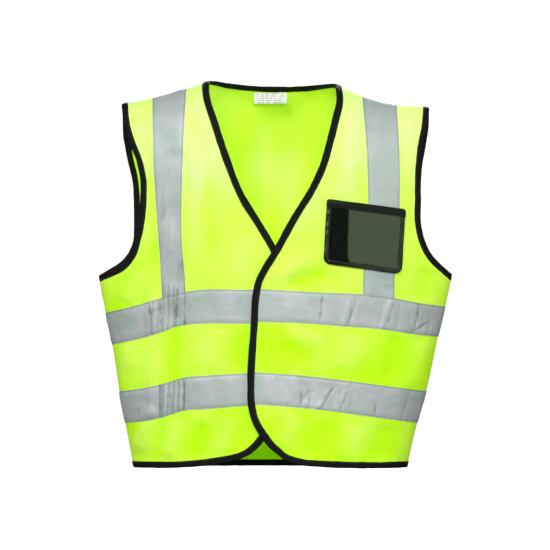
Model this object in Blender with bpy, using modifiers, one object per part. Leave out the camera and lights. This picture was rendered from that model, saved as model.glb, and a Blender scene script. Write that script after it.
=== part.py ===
"""High visibility vest: fluorescent fabric, black edge binding, reflective tapes, card pocket and label.

Metres, +Z up. The wearer faces -Y and the wearer's left is +X. Outlines are written with heights above
the lowest point of the hem. The finished vest hangs from the origin, the middle of the neck opening at the
height where the shoulder seams rest on the wearer.

Every piece of cloth is a patch of one shell: a front half and a back half that meet along the side seams
and over the crown of the shoulders. A patch is a grid of (x, height) places laid on the shell at a lift.
"""

import math

import bmesh
import bpy
import numpy as np
from mathutils import Vector

# Shell
NECK_HEIGHT = 0.595
FRONT_DEPTH = 0.095
BACK_DEPTH = 0.085
CROWN_DROP = 0.150
SIDE_ROUNDNESS = 0.65
SEAM_CLEARANCE = 0.0009
SLOPE_STEP = 0.0006
FRONT = -1
BACK = 1

# Thicknesses and widths of the materials, and the gap kept between neighbours
GAP = 0.0004
FABRIC = 0.0012
TAPE = 0.0008
BINDING = 0.0026
EDGE_WIDTH = 0.0110
HEM_WIDTH = 0.0100
PATCH = 0.0011
TAPE_LIFT = FABRIC / 2 + GAP + TAPE / 2
OVER_TAPE = TAPE_LIFT + TAPE / 2 + GAP

# The left front lies over the right one, and each folds open about an upright line
FOLD_X = {"left": 0.070, "right": -0.075}
FOLD_GAP = 0.0015
FOLD_CLEARANCE = 0.0010
UNDERLAP_DEPTH = 0.0060
UNDERLAP_RAMP = 0.030
FOLD_HEIGHTS = (0.1, 0.2, 0.3, 0.4)
LEAST_FLAP = 0.004

# Side seams, as half widths of the shell, and the shoulder line: (height, half width) and (x, height)
SIDES = {
    "left": [(0.0, 0.203), (0.069, 0.219), (0.118, 0.233), (0.202, 0.251), (0.294, 0.272), (0.45, 0.281),
             (0.62, 0.281)],
    "right": [(0.0, 0.220), (0.069, 0.233), (0.118, 0.242), (0.19, 0.253), (0.29, 0.273), (0.45, 0.282),
              (0.62, 0.282)],
}
SHOULDER_LINE = [(-0.300, 0.545), (-0.234, 0.563), (-0.191, 0.571), (-0.139, 0.586), (-0.101, 0.598),
                 (0.0, 0.606), (0.090, 0.594), (0.131, 0.577), (0.186, 0.562), (0.233, 0.557),
                 (0.300, 0.540)]

# Inner edges of the fronts and armholes of fronts and back: (height, x) along the middle of the binding
EDGES = {
    "left": [(0.0095, 0.047), (0.014, 0.028), (0.029, 0.0026), (0.052, -0.018), (0.073, -0.0305),
             (0.098, -0.037), (0.129, -0.038), (0.222, -0.033), (0.270, -0.0295), (0.288, -0.0255),
             (0.307, -0.016), (0.331, -0.001), (0.387, 0.030), (0.431, 0.057), (0.4635, 0.072),
             (0.505, 0.084), (0.537, 0.092), (0.566, 0.0985), (0.591, 0.0965)],
    "right": [(0.0195, -0.058), (0.024, -0.047), (0.032, -0.036), (0.0485, -0.021), (0.075, -0.002),
              (0.105, 0.007), (0.140, 0.010), (0.285, 0.010), (0.308, 0.008), (0.333, -0.002),
              (0.375, -0.026), (0.417, -0.052), (0.4695, -0.0735), (0.5265, -0.0925), (0.586, -0.108),
              (0.597, -0.107)],
}
ARMHOLES = {
    ("left", FRONT): [(0.294, 0.2715), (0.322, 0.241), (0.355, 0.224), (0.376, 0.2195), (0.413, 0.2185),
                      (0.457, 0.2185), (0.500, 0.224), (0.522, 0.229), (0.557, 0.233)],
    ("right", FRONT): [(0.2925, -0.2725), (0.307, -0.240), (0.325, -0.223), (0.353, -0.212),
                       (0.384, -0.206), (0.417, -0.204), (0.451, -0.205), (0.477, -0.211), (0.505, -0.223),
                       (0.529, -0.230), (0.562, -0.234)],
    ("left", BACK): [(0.294, 0.2715), (0.322, 0.243), (0.355, 0.227), (0.376, 0.2225), (0.413, 0.2215),
                     (0.457, 0.222), (0.500, 0.229), (0.530, 0.233), (0.557, 0.233)],
    ("right", BACK): [(0.2925, -0.2725), (0.313, -0.240), (0.346, -0.219), (0.370, -0.2165),
                      (0.405, -0.2165), (0.441, -0.2185), (0.479, -0.227), (0.512, -0.2325),
                      (0.562, -0.234)],
}

# Guide lines across each front and the back, from the hem up: (x, height), with the rows up to the next one
LEFT_GUIDES = [
    ("hem", 6, [(-0.04, 0.0105), (0.047, 0.0095), (0.09, 0.0068), (0.14, 0.005), (0.203, 0.0045)]),
    ("lower band", 2, [(-0.04, 0.100), (0.039, 0.094), (0.096, 0.087), (0.158, 0.078), (0.219, 0.069)]),
    ("lower band top", 3, [(-0.04, 0.149), (0.035, 0.144), (0.12, 0.134), (0.182, 0.125), (0.233, 0.118)]),
    ("upper band", 2, [(-0.04, 0.226), (0.049, 0.223), (0.101, 0.219), (0.163, 0.214), (0.208, 0.207),
                       (0.251, 0.202)]),
    ("upper band top", 2, [(-0.04, 0.277), (0.0845, 0.270), (0.134, 0.268), (0.182, 0.262), (0.22, 0.2545),
                           (0.261, 0.249)]),
    ("underarm", 5, [(-0.04, 0.327), (0.13, 0.316), (0.272, 0.293)]),
]
RIGHT_GUIDES = [
    ("hem", 6, [(-0.2206, 0.0045), (-0.143, 0.0065), (-0.094, 0.012), (-0.075, 0.0155), (-0.058, 0.0195)]),
    ("lower band", 2, [(-0.233, 0.069), (-0.205, 0.072), (-0.175, 0.078), (-0.139, 0.089), (-0.043, 0.097),
                       (0.02, 0.099)]),
    ("lower band top", 3, [(-0.242, 0.1175), (-0.205, 0.123), (-0.176, 0.130), (-0.139, 0.140),
                           (-0.042, 0.147), (0.02, 0.149)]),
    ("upper band", 2, [(-0.253, 0.190), (-0.209, 0.1995), (-0.175, 0.209), (-0.136, 0.221), (-0.036, 0.223),
                       (0.02, 0.224)]),
    ("upper band top", 2, [(-0.264, 0.239), (-0.2175, 0.250), (-0.175, 0.262), (-0.139, 0.271),
                           (-0.035, 0.275), (0.02, 0.276)]),
    ("underarm", 5, [(-0.272, 0.292), (-0.15, 0.318), (0.02, 0.332)]),
]
BACK_GUIDES = [
    ("hem", 3, [(-0.220, 0.0045), (0.0, 0.0040), (0.203, 0.0045)]),
    ("lower band", 2, [(-0.233, 0.069), (0.0, 0.092), (0.219, 0.069)]),
    ("lower band top", 3, [(-0.242, 0.1175), (0.0, 0.142), (0.233, 0.118)]),
    ("upper band", 2, [(-0.253, 0.190), (0.0, 0.217), (0.251, 0.202)]),
    ("upper band top", 2, [(-0.264, 0.239), (0.0, 0.267), (0.261, 0.249)]),
    ("underarm", 5, [(-0.272, 0.292), (0.0, 0.305), (0.272, 0.293)]),
]
GUIDES = {"left": LEFT_GUIDES, "right": RIGHT_GUIDES}

# Steps between columns: from the fold or the neck edge to the brace, across it, on to the arm, across a flap
TO_BRACE = 3
ACROSS_BRACE = 3
TO_ARM = 6
ACROSS_FLAP = 5
# Distances from the middle at which a front's inner edge and its outer edge are sought along a row
NEAR_EDGE = 0.05
NEAR_ARM = 0.22
# A row leaves its own height over this distance, to lead up to an edge that lies off it
ROW_REACH = 0.03
# The neck binding starts this far up from the top row of the flap to the row above
NECK_START = 0.35

# The rows over the crown of the shoulders are at these angles round it, 0 at its top
CROWN_ANGLES = (1.45, 1.22, 1.0, 0.78, 0.56, 0.36, 0.18, 0.02)
CROWN_RADIUS = 0.095
NECK_CORNERS = (-0.107, 0.0965)
BACK_NECK_ANGLE = 0.52

# Brace tapes over the shoulders: (x nearer the neck, x nearer the arm)
BRACES = {"left": (0.1335, 0.185), "right": (-0.1375, -0.188)}

# Card pocket on the left chest
POCKET_BOTTOM = ((0.0725, 0.315), (0.193, 0.299))
POCKET_TOP = ((0.078, 0.4135), (0.199, 0.398))
POCKET_WIDTH = 0.121
POCKET_HEIGHT = 0.099
POCKET_EDGE = 0.006
POCKET_MOUTH = 0.011
POCKET_COLUMNS = 8
POCKET_ROWS = 6
POCKET_BACKING = 0.0010
POCKET_WINDOW = 0.0005
CARD_SPACE = 0.0010

# Hook and loop patches at the height of the two bands
CLOSURE_HEIGHTS = {"upper": 0.250, "lower": 0.123}
CLOSURE_X = -0.012
CLOSURE_WIDTH = 0.022
CLOSURE_HEIGHT = 0.040

# Label sewn under the back neck binding
LABEL_WIDTH = 0.051
LABEL_LENGTH = 0.0175
LABEL_THICKNESS = 0.0005
LABEL_TOP = (-0.0085, 0.0405, 0.5815)

LIME = (0.62, 1.0, 0.035, 1.0)
BLACK = (0.012, 0.012, 0.013, 1.0)
SILVER = (0.52, 0.57, 0.57, 1.0)
CLEAR = (0.07, 0.08, 0.07, 0.35)
WHITE = (0.85, 0.86, 0.84, 1.0)


# ---------------------------------------------------------------- the shell

def smooth(points):
    """A cubic curve through (where, value) points, as a function of where."""
    where, value = np.array(points).T
    slope = np.gradient(value, where)

    def at(place):
        place = min(max(place, where[0]), where[-1])
        k = min(max(int(np.searchsorted(where, place)) - 1, 0), len(where) - 2)
        span = where[k + 1] - where[k]
        t = (place - where[k]) / span
        start = (1 + 2 * t) * (1 - t) ** 2 * value[k] + t * (1 - t) ** 2 * span * slope[k]
        end = t * t * (3 - 2 * t) * value[k + 1] + t * t * (t - 1) * span * slope[k + 1]
        return float(start + end)

    return at


def mix(a, b, t):
    return a + (b - a) * t


side_curves = {name: smooth(points) for name, points in SIDES.items()}
shoulder_line = smooth(SHOULDER_LINE)


def half_width(x, height):
    return side_curves["left" if x > 0 else "right"](height)


def depth(x, height, face):
    """The shell's y: nearly 0 on the side seams and on the crown of the shoulders."""
    across = (1 - min(abs(x) / half_width(x, height), 1.0) ** 2) ** SIDE_ROUNDNESS
    drop = min(max((shoulder_line(x) - height) / CROWN_DROP, 0.0), 1.0)
    crown = math.sqrt(1 - (1 - drop) ** 2)
    reach = FRONT_DEPTH if face == FRONT else BACK_DEPTH
    return face * max(reach * across * crown, SEAM_CLEARANCE)


def outward(x, height, face):
    """The shell's outward unit normal."""
    step = SLOPE_STEP
    slope_x = (depth(x + step, height, face) - depth(x - step, height, face)) / (2 * step)
    slope_z = (depth(x, height + step, face) - depth(x, height - step, face)) / (2 * step)
    return Vector((-slope_x, 1.0, -slope_z)).normalized() * face


def underlap(x):
    """How far the right front sinks behind the left one, between its fold line and its front edge."""
    t = min(max((x - FOLD_X["right"]) / UNDERLAP_RAMP, 0.0), 1.0)
    return UNDERLAP_DEPTH * t * t * (3 - 2 * t)


def on_shell(place, face, lift=0.0, sunk=False):
    """The point of the shell at an (x, height) place, lifted off it along its normal."""
    x, height = place
    point = Vector((x, depth(x, height, face), height)) + lift * outward(x, height, face)
    if sunk:
        point.y += underlap(x)
    return point


def offset(places, shift):
    """A line of (x, height) places moved to the left of its direction of travel, with mitred corners."""
    moved = []
    for k, place in enumerate(places):
        here = Vector(place)
        legs = [(here - Vector(p)).normalized() for p in places[max(k - 1, 0):k]]
        legs += [(Vector(p) - here).normalized() for p in places[k + 1:k + 2]]
        along = sum(legs, Vector((0, 0))).normalized()
        reach = shift / max(along.dot(legs[0]), 0.5)
        moved.append((here.x - along.y * reach, here.y + along.x * reach))
    return moved


# ---------------------------------------------------------------- rows across the fronts and the back

def crown_row(angle):
    """The row at an angle round the crown of the shoulders."""
    return lambda x: shoulder_line(x) - CROWN_DROP * (1 - math.cos(angle))


def between(below, above, t):
    return lambda x: mix(below(x), above(x), t)


def rows_of(guides):
    """The rows from the hem to the shoulder seam as functions of x, and the number of each named guide."""
    lines = [smooth(points) for _, _, points in guides] + [crown_row(CROWN_ANGLES[0])]
    rows, number = [], {}
    for (name, count, _), below, above in zip(guides, lines, lines[1:]):
        number[name] = len(rows)
        spacing = 1.2 if name in ("hem", "underarm") else 1.0
        rows += [between(below, above, (k / count) ** spacing) for k in range(count)]
    number["crown"] = len(rows)
    return rows + [crown_row(angle) for angle in CROWN_ANGLES], number


def meeting(row, edge, start):
    """The place where a row meets an edge that is given as x at each height."""
    x = start
    for _ in range(12):
        x = edge(row(x))
    return x, row(x)


def outer_place(row, side, face, start):
    """The outer end of a row: on the armhole, or on the side seam below it."""
    armhole = ARMHOLES[side, face]
    sign = 1 if side == "left" else -1
    if row(start) < armhole[0][0]:
        return meeting(row, lambda height: sign * side_curves[side](height), start)
    return meeting(row, smooth(armhole), start)


def spaced(start, end, count):
    return [mix(start, end, k / count) for k in range(count + 1)]


def rounding(start, end, half, count):
    """Places from start to end that crowd together where the shell turns into the side seam."""
    first, last = (math.asin(max(min(x / half, 1.0), -1.0)) for x in (start, end))
    return [half * math.sin(mix(first, last, k / count)) for k in range(count)] + [end]


def heights(row, columns, ends):
    """The (x, height) places of a row. Its two ends may lie off the row, which then leads up to them."""
    places = []
    for x in columns:
        bend = sum((z - row(end)) * max(1 - abs(x - end) / ROW_REACH, 0.0) for end, z in ends)
        places.append((x, row(x) + bend))
    return places


# ---------------------------------------------------------------- objects

def clear_scene():
    for obj in list(bpy.data.objects):
        bpy.data.objects.remove(obj, do_unlink=True)


def material(name, color, roughness, metallic=0.0):
    made = bpy.data.materials.new(name)
    made.use_nodes = True
    made.diffuse_color = color
    shader = made.node_tree.nodes["Principled BSDF"]
    values = {"Base Color": color, "Roughness": roughness, "Metallic": metallic, "Alpha": color[3]}
    for socket, value in values.items():
        shader.inputs[socket].default_value = value
    return made


def sheet_mesh(name, rows, away):
    """An open grid of points, rows by columns, whose faces point the way that away does."""
    columns = len(rows[0])
    grid = bmesh.new()
    bmesh.ops.create_grid(grid, x_segments=columns - 1, y_segments=len(rows) - 1, size=0.5)
    order = sorted(grid.verts, key=lambda vertex: (round(vertex.co.y, 4), round(vertex.co.x, 4)))
    for vertex, point in zip(order, [point for row in rows for point in row]):
        vertex.co = point
    grid.normal_update()
    if sum((face.normal * face.calc_area() for face in grid.faces), Vector()).dot(away) < 0:
        bmesh.ops.reverse_faces(grid, faces=grid.faces)
    mesh = bpy.data.meshes.new(name)
    grid.to_mesh(mesh)
    grid.free()
    mesh.shade_smooth()
    return mesh


class Workshop:
    """The collection, the pivots and the materials that the pieces share."""

    def __init__(self):
        self.collection = bpy.data.collections.new("high_visibility_vest")
        bpy.context.scene.collection.children.link(self.collection)
        self.materials = {
            "fabric": material("fluorescent_fabric", LIME, 0.8),
            "binding": material("black_binding", BLACK, 0.85),
            "tape": material("reflective_tape", SILVER, 0.35, 0.2),
            "pocket": material("pocket_backing", BLACK, 0.5),
            "window": material("clear_window", CLEAR, 0.08),
            "closure": material("hook_and_loop", BLACK, 0.95),
            "label": material("neck_label", WHITE, 0.7),
        }
        self.root = self.empty("vest_on_shoulders", (0.0, 0.0, -NECK_HEIGHT), None)
        self.pivots = {
            "left": self.empty("left_front_fold", (FOLD_X["left"], fold_y("left"), 0.0), self.root),
            "right": self.empty("right_front_fold", (FOLD_X["right"], fold_y("right"), 0.0), self.root),
            "label": self.empty("label_flip", LABEL_TOP, self.root),
        }

    def empty(self, name, location, parent):
        made = bpy.data.objects.new(name, None)
        made.location = location
        made.empty_display_size = 0.03
        made.parent = parent
        self.collection.objects.link(made)
        return made

    def hang(self, mesh, slot, pivot=None):
        """A mesh in heights above the hem, as an object on the root or on a moving piece's pivot."""
        made = bpy.data.objects.new(mesh.name, mesh)
        made.parent = self.pivots.get(pivot, self.root)
        if pivot:
            for vertex in mesh.vertices:
                vertex.co -= made.parent.location
        mesh.materials.append(self.materials[slot])
        self.collection.objects.link(made)
        return made

    def sheet(self, name, rows, thickness, slot, pivot=None, away=(0, -1, 0)):
        made = self.hang(sheet_mesh(name, rows, Vector(away)), slot, pivot)
        solid = made.modifiers.new("Thickness", "SOLIDIFY")
        solid.thickness = thickness
        solid.offset = 0.0
        return made


def fold_y(side):
    """A fold axis stands a little in front of the outermost tape."""
    outermost = min(depth(FOLD_X[side], height, FRONT) for height in FOLD_HEIGHTS)
    return outermost - TAPE_LIFT - TAPE / 2 - FOLD_CLEARANCE


# ---------------------------------------------------------------- the fronts

class Front:
    """One front of the vest. Its rows run from the front edge to the armhole or the side seam."""

    def __init__(self, side):
        self.side = side
        self.sign = 1 if side == "left" else -1
        self.sunk = side == "right"
        self.rows, self.number = rows_of(GUIDES[side])
        edge = smooth(EDGES[side])
        self.edge = [meeting(row, edge, NEAR_EDGE * self.sign) for row in self.rows]
        self.outer = [outer_place(row, side, FRONT, NEAR_ARM * self.sign) for row in self.rows]
        self.inner_line = self.keep_rows(offset(self.edge, -self.sign * (EDGE_WIDTH / 2 + GAP)))
        underarm = self.number["underarm"]
        armhole = self.keep_rows(offset(self.outer[underarm:], self.sign * (HEM_WIDTH / 2 + GAP)), underarm)
        self.outer_line = self.outer[:underarm] + armhole
        self.hem_rise = EDGE_WIDTH / 2 + GAP

    def keep_rows(self, places, first=0):
        """Near the crown of the shoulder a place keeps its row's height, whatever its x."""
        crown = self.number["crown"]
        return [(x, self.rows[k](x)) if k >= crown else (x, z) for k, (x, z) in enumerate(places, first)]

    def beside_fold(self, toward_arm):
        return FOLD_X[self.side] + self.sign * (FOLD_GAP if toward_arm else -FOLD_GAP)

    def place_row(self, k, columns):
        row = self.rows[k]
        if k == 0:
            return [(x, row(x) + self.hem_rise) for x in columns]
        return heights(row, columns, (self.inner_line[k], self.outer_line[k]))

    def side_columns(self, k):
        """Columns of the fixed part: from the fold line or the neck edge, past the brace, to the arm."""
        start = self.beside_fold(True)
        if self.sign * self.inner_line[k][0] > self.sign * start:
            start = self.inner_line[k][0]
        near, far = BRACES[self.side]
        end, height = self.outer_line[k]
        half = self.sign * half_width(end, height)
        to_brace, on_brace = spaced(start, near, TO_BRACE), spaced(near, far, ACROSS_BRACE)
        return to_brace[:-1] + on_brace[:-1] + rounding(far, end, half, TO_ARM)

    def flap_columns(self, k):
        return spaced(self.inner_line[k][0], self.beside_fold(False), ACROSS_FLAP)

    def flap_rows(self):
        """The rows on which the flap is wide enough to make."""
        fold = self.sign * self.beside_fold(False)
        return [k for k, (x, _) in enumerate(self.inner_line) if fold - self.sign * x > LEAST_FLAP]

    def laid(self, places, lift=0.0):
        return [on_shell(place, FRONT, lift, self.sunk) for place in places]

    def patch(self, ks, columns_of, keep=slice(None), lift=0.0):
        return [self.laid(self.place_row(k, columns_of(k))[keep], lift) for k in ks]

    def strip(self, line, width, first):
        """A binding along a line of (x, height) places, one on each row from row number first."""
        return [self.laid(self.keep_rows(offset(line, shift), first)) for shift in (width / 2, -width / 2)]

    def hem_strip(self):
        hem, columns = self.rows[0], self.side_columns(0)
        return [self.laid([(x, hem(x) + rise) for x in columns]) for rise in (-HEM_WIDTH / 2, HEM_WIDTH / 2)]


def shortened(rows, gap):
    """A grid with its first and last rows drawn in by a gap."""
    first = [a + (b - a).normalized() * gap for a, b in zip(rows[0], rows[1])]
    last = [a + (b - a).normalized() * gap for a, b in zip(rows[-1], rows[-2])]
    return [first] + rows[1:-1] + [last]


def make_front(shop, side):
    front = Front(side)
    number = front.number
    every = range(len(front.rows))
    flap = front.patch(front.flap_rows(), front.flap_columns)
    shop.sheet(f"{side}_front_panel", front.patch(every, front.side_columns), FABRIC, "fabric")
    shop.sheet(f"{side}_front_flap", flap, FABRIC, "fabric", side)
    for band in ("lower", "upper"):
        ks = range(number[f"{band} band"], number[f"{band} band top"] + 1)
        fixed = front.patch(ks, front.side_columns, lift=TAPE_LIFT)
        moving = front.patch(ks, front.flap_columns, lift=TAPE_LIFT)
        shop.sheet(f"{side}_{band}_band", fixed, TAPE, "tape")
        shop.sheet(f"{side}_{band}_band_flap", moving, TAPE, "tape", side)
    across = slice(TO_BRACE, TO_BRACE + ACROSS_BRACE + 1)
    brace = front.patch(every[number["upper band top"]:], front.side_columns, across, TAPE_LIFT)
    shop.sheet(f"{side}_brace_front", shortened(brace, GAP * 2), TAPE, "tape")
    make_front_bindings(shop, front)


def make_front_bindings(shop, front):
    """The bindings of one front, cut where it folds: edge and corner on the flap, the others beside it."""
    side, flap, underarm = front.side, front.flap_rows(), front.number["underarm"]
    low, top = flap[0], flap[-1]
    hem = front.rows[0]
    corner = [(x, hem(x)) for x in spaced(front.beside_fold(False), front.edge[low][0], 2)[:-1]]
    edge = front.strip(corner + front.edge[low:top + 1], EDGE_WIDTH, low - len(corner))
    start = mix(Vector(front.edge[top]), Vector(front.edge[top + 1]), NECK_START)
    neck = front.strip([tuple(start)] + front.edge[top + 1:], EDGE_WIDTH, top)
    armhole = front.strip(front.outer[underarm:], HEM_WIDTH, underarm)
    shop.sheet(f"{side}_edge_binding", edge, BINDING, "binding", side)
    shop.sheet(f"{side}_neck_binding", neck, BINDING, "binding")
    shop.sheet(f"{side}_hem_binding", front.hem_strip(), BINDING, "binding")
    shop.sheet(f"{side}_armhole_front_binding", armhole, BINDING, "binding")


# ---------------------------------------------------------------- the back

class Back:
    """The back panel. Its rows run from the wearer's right to the wearer's left."""

    NECK_STEPS = 14

    def __init__(self):
        self.rows, self.number = rows_of(BACK_GUIDES)
        self.neck = self.neck_line(0.0)
        self.neck_below = self.neck_line(EDGE_WIDTH / 2 + GAP)
        underarm = self.number["underarm"]
        self.outer, self.outer_line = {}, {}
        for side, sign in (("left", 1), ("right", -1)):
            self.outer[side] = [outer_place(row, side, BACK, sign * NEAR_ARM) for row in self.rows]
            armhole = offset(self.outer[side][underarm:], sign * (HEM_WIDTH / 2 + GAP))
            self.outer_line[side] = self.outer[side][:underarm] + self.keep_rows(armhole, underarm)

    def keep_rows(self, places, first):
        crown = self.number["crown"]
        return [(x, self.rows[k](x)) if k >= crown else (x, z) for k, (x, z) in enumerate(places, first)]

    def neck_line(self, inset):
        """The back neckline as (x, angle round the crown) places, moved down into the back by an inset."""
        right, left = NECK_CORNERS
        middle, half = (left + right) / 2, (left - right) / 2
        turns = [math.pi * k / self.NECK_STEPS for k in range(self.NECK_STEPS + 1)]
        line = [(middle - half * math.cos(t), CROWN_RADIUS * BACK_NECK_ANGLE * math.sin(t)) for t in turns]
        moved = offset(line, inset)
        return [(x, max(arc / CROWN_RADIUS, CROWN_ANGLES[-1])) for x, arc in moved]

    def columns(self, k):
        """The columns of row k, each with the angle at which its top row lies."""
        flat = CROWN_ANGLES[-1]
        right, left = (self.outer_line[side][k] for side in ("right", "left"))
        arm, brace = {}, {}
        for side, end in (("right", right), ("left", left)):
            near, far = BRACES[side]
            arm[side] = rounding(far, end[0], math.copysign(half_width(*end), end[0]), TO_ARM)
            brace[side] = spaced(far, near, ACROSS_BRACE)[1:]
        neck_x = [x for x, _ in self.neck_below]
        xs = arm["right"][::-1] + brace["right"] + neck_x + brace["left"][::-1] + arm["left"]
        beside = [flat] * (TO_ARM + 1 + ACROSS_BRACE)
        tops = beside + [angle for _, angle in self.neck_below] + beside
        return xs, tops

    def place_row(self, k):
        xs, tops = self.columns(k)
        if k == 0:
            return [(x, self.rows[0](x) + HEM_WIDTH / 2 + GAP) for x in xs]
        crown = self.number["crown"]
        if k < crown:
            return heights(self.rows[k], xs, (self.outer_line["right"][k], self.outer_line["left"][k]))
        base, flat = CROWN_ANGLES[0], CROWN_ANGLES[-1]
        share = (base - CROWN_ANGLES[k - crown]) / (base - flat)
        return [(x, crown_row(mix(base, top, share))(x)) for x, top in zip(xs, tops)]

    def patch(self, ks, keep=slice(None), lift=0.0):
        return [[on_shell(place, BACK, lift) for place in self.place_row(k)[keep]] for k in ks]


def make_back(shop):
    back = Back()
    number = back.number
    last = len(back.rows) - 1
    away = (0, 1, 0)
    shop.sheet("back_panel", back.patch(range(last + 1)), FABRIC, "fabric", away=away)
    for band in ("lower", "upper"):
        ks = range(number[f"{band} band"], number[f"{band} band top"] + 1)
        shop.sheet(f"back_{band}_band", back.patch(ks, lift=TAPE_LIFT), TAPE, "tape", away=away)
    first, last_column = TO_ARM, TO_ARM + ACROSS_BRACE
    for side, keep in (("right", slice(first, last_column + 1)), ("left", slice(-last_column - 1, -first))):
        brace = back.patch(range(number["upper band top"], last + 1), keep, TAPE_LIFT)
        shop.sheet(f"{side}_brace_back", shortened(brace, GAP * 2), TAPE, "tape", away=away)
    make_back_bindings(shop, back, away)


def make_back_bindings(shop, back, away):
    hem = back.rows[0]
    xs, _ = back.columns(0)
    rows = [[on_shell((x, hem(x) + rise), BACK) for x in xs] for rise in (-HEM_WIDTH / 2, HEM_WIDTH / 2)]
    shop.sheet("back_hem_binding", rows, BINDING, "binding", away=away)
    lines = [back.neck_line(-EDGE_WIDTH / 2), back.neck_line(EDGE_WIDTH / 2)]
    rows = [[on_shell((x, crown_row(angle)(x)), BACK) for x, angle in line] for line in lines]
    shop.sheet("back_neck_binding", rows, BINDING, "binding", away=away)
    underarm = back.number["underarm"]
    for side in ("left", "right"):
        arm = back.outer[side][underarm:]
        lines = [back.keep_rows(offset(arm, shift), underarm) for shift in (HEM_WIDTH / 2, -HEM_WIDTH / 2)]
        rows = [[on_shell(place, BACK) for place in line] for line in lines]
        shop.sheet(f"{side}_armhole_back_binding", rows, BINDING, "binding", away=away)


# ---------------------------------------------------------------- pocket, closure and label

def pocket_place(across, up):
    """A place on the pocket, from its lower corner nearer the front edge."""
    u, v = across / POCKET_WIDTH, up / POCKET_HEIGHT
    low = [mix(a, b, u) for a, b in zip(*POCKET_BOTTOM)]
    high = [mix(a, b, u) for a, b in zip(*POCKET_TOP)]
    return mix(low[0], high[0], v), mix(low[1], high[1], v)


def pocket_patch(low, high, columns, rows, lift):
    return [
        [on_shell(pocket_place(x, z), FRONT, lift) for x in spaced(low[0], high[0], columns)]
        for z in spaced(low[1], high[1], rows)
    ]


def make_pocket(shop):
    inside = POCKET_EDGE + GAP
    left, right = inside, POCKET_WIDTH - inside
    mouth = POCKET_HEIGHT - POCKET_MOUTH
    backing_lift = OVER_TAPE + POCKET_BACKING / 2
    window_lift = OVER_TAPE + POCKET_BACKING + CARD_SPACE + POCKET_WINDOW / 2
    columns, rows = POCKET_COLUMNS, POCKET_ROWS
    backing = pocket_patch((left, inside), (right, POCKET_HEIGHT), columns, rows, backing_lift)
    window = pocket_patch((left, inside), (right, mouth - GAP), columns, rows, window_lift)
    top = pocket_patch((left, mouth), (right, POCKET_HEIGHT), columns, 1, window_lift)
    shop.sheet("pocket_backing", backing, POCKET_BACKING, "pocket")
    shop.sheet("pocket_window", window, POCKET_WINDOW, "window")
    shop.sheet("pocket_mouth_band", top, POCKET_WINDOW * 2, "pocket")
    make_pocket_edge(shop)


def make_pocket_edge(shop):
    """The binding down one side of the pocket, along its bottom and up the other side."""
    near = POCKET_EDGE / 2
    far = POCKET_WIDTH - near
    corners = [(near, POCKET_HEIGHT), (near, near), (far, near), (far, POCKET_HEIGHT)]
    path = []
    for start, end in zip(corners, corners[1:]):
        path += [tuple(mix(Vector(start), Vector(end), k / POCKET_ROWS)) for k in range(POCKET_ROWS)]
    path.append(corners[-1])
    height = POCKET_BACKING + CARD_SPACE + POCKET_WINDOW * 2
    lift = OVER_TAPE + height / 2
    rows = [[on_shell(pocket_place(*place), FRONT, lift) for place in offset(path, shift)]
            for shift in (near, -near)]
    shop.sheet("pocket_edge_binding", rows, height, "pocket")


def make_closures(shop):
    """Hook patches inside the left front, loop patches outside the right front."""
    hook_lift, loop_lift = -(FABRIC / 2 + GAP + PATCH / 2), OVER_TAPE + PATCH / 2
    xs = spaced(CLOSURE_X - CLOSURE_WIDTH / 2, CLOSURE_X + CLOSURE_WIDTH / 2, 2)
    for name, middle in CLOSURE_HEIGHTS.items():
        zs = spaced(middle - CLOSURE_HEIGHT / 2, middle + CLOSURE_HEIGHT / 2, 3)
        hooks = [[on_shell((x, z), FRONT, hook_lift) for x in xs] for z in zs]
        loops = [[on_shell((x, z), FRONT, loop_lift, True) for x in xs] for z in zs]
        shop.sheet(f"{name}_hook_patch", hooks, PATCH, "closure", "left")
        shop.sheet(f"{name}_loop_patch", loops, PATCH, "closure", "right")


def make_label(shop):
    x, y, top = LABEL_TOP
    mesh = bpy.data.meshes.new("neck_label")
    block = bmesh.new()
    bmesh.ops.create_cube(block, size=1.0)
    bmesh.ops.scale(block, vec=(LABEL_WIDTH, LABEL_THICKNESS, LABEL_LENGTH), verts=block.verts)
    bmesh.ops.translate(block, vec=(x, y, top - LABEL_LENGTH / 2), verts=block.verts)
    block.to_mesh(mesh)
    block.free()
    shop.hang(mesh, "label", "label")


def main():
    clear_scene()
    shop = Workshop()
    for side in ("left", "right"):
        make_front(shop, side)
    make_back(shop)
    make_pocket(shop)
    make_closures(shop)
    make_label(shop)


main()
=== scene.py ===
"""The look of a high visibility vest: cloth, tapes, bindings, pocket, label and stitching.

Everything is laid on one shell: a front half and a back half that meet along the side seams and over the
crown of the shoulders. Outlines are (x, height above the lowest point of the hem), and DROP takes them to the
frame, whose origin is the neck opening. Relief on the shell makes the folds, and what is sewn on follows it.
"""

import math

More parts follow.
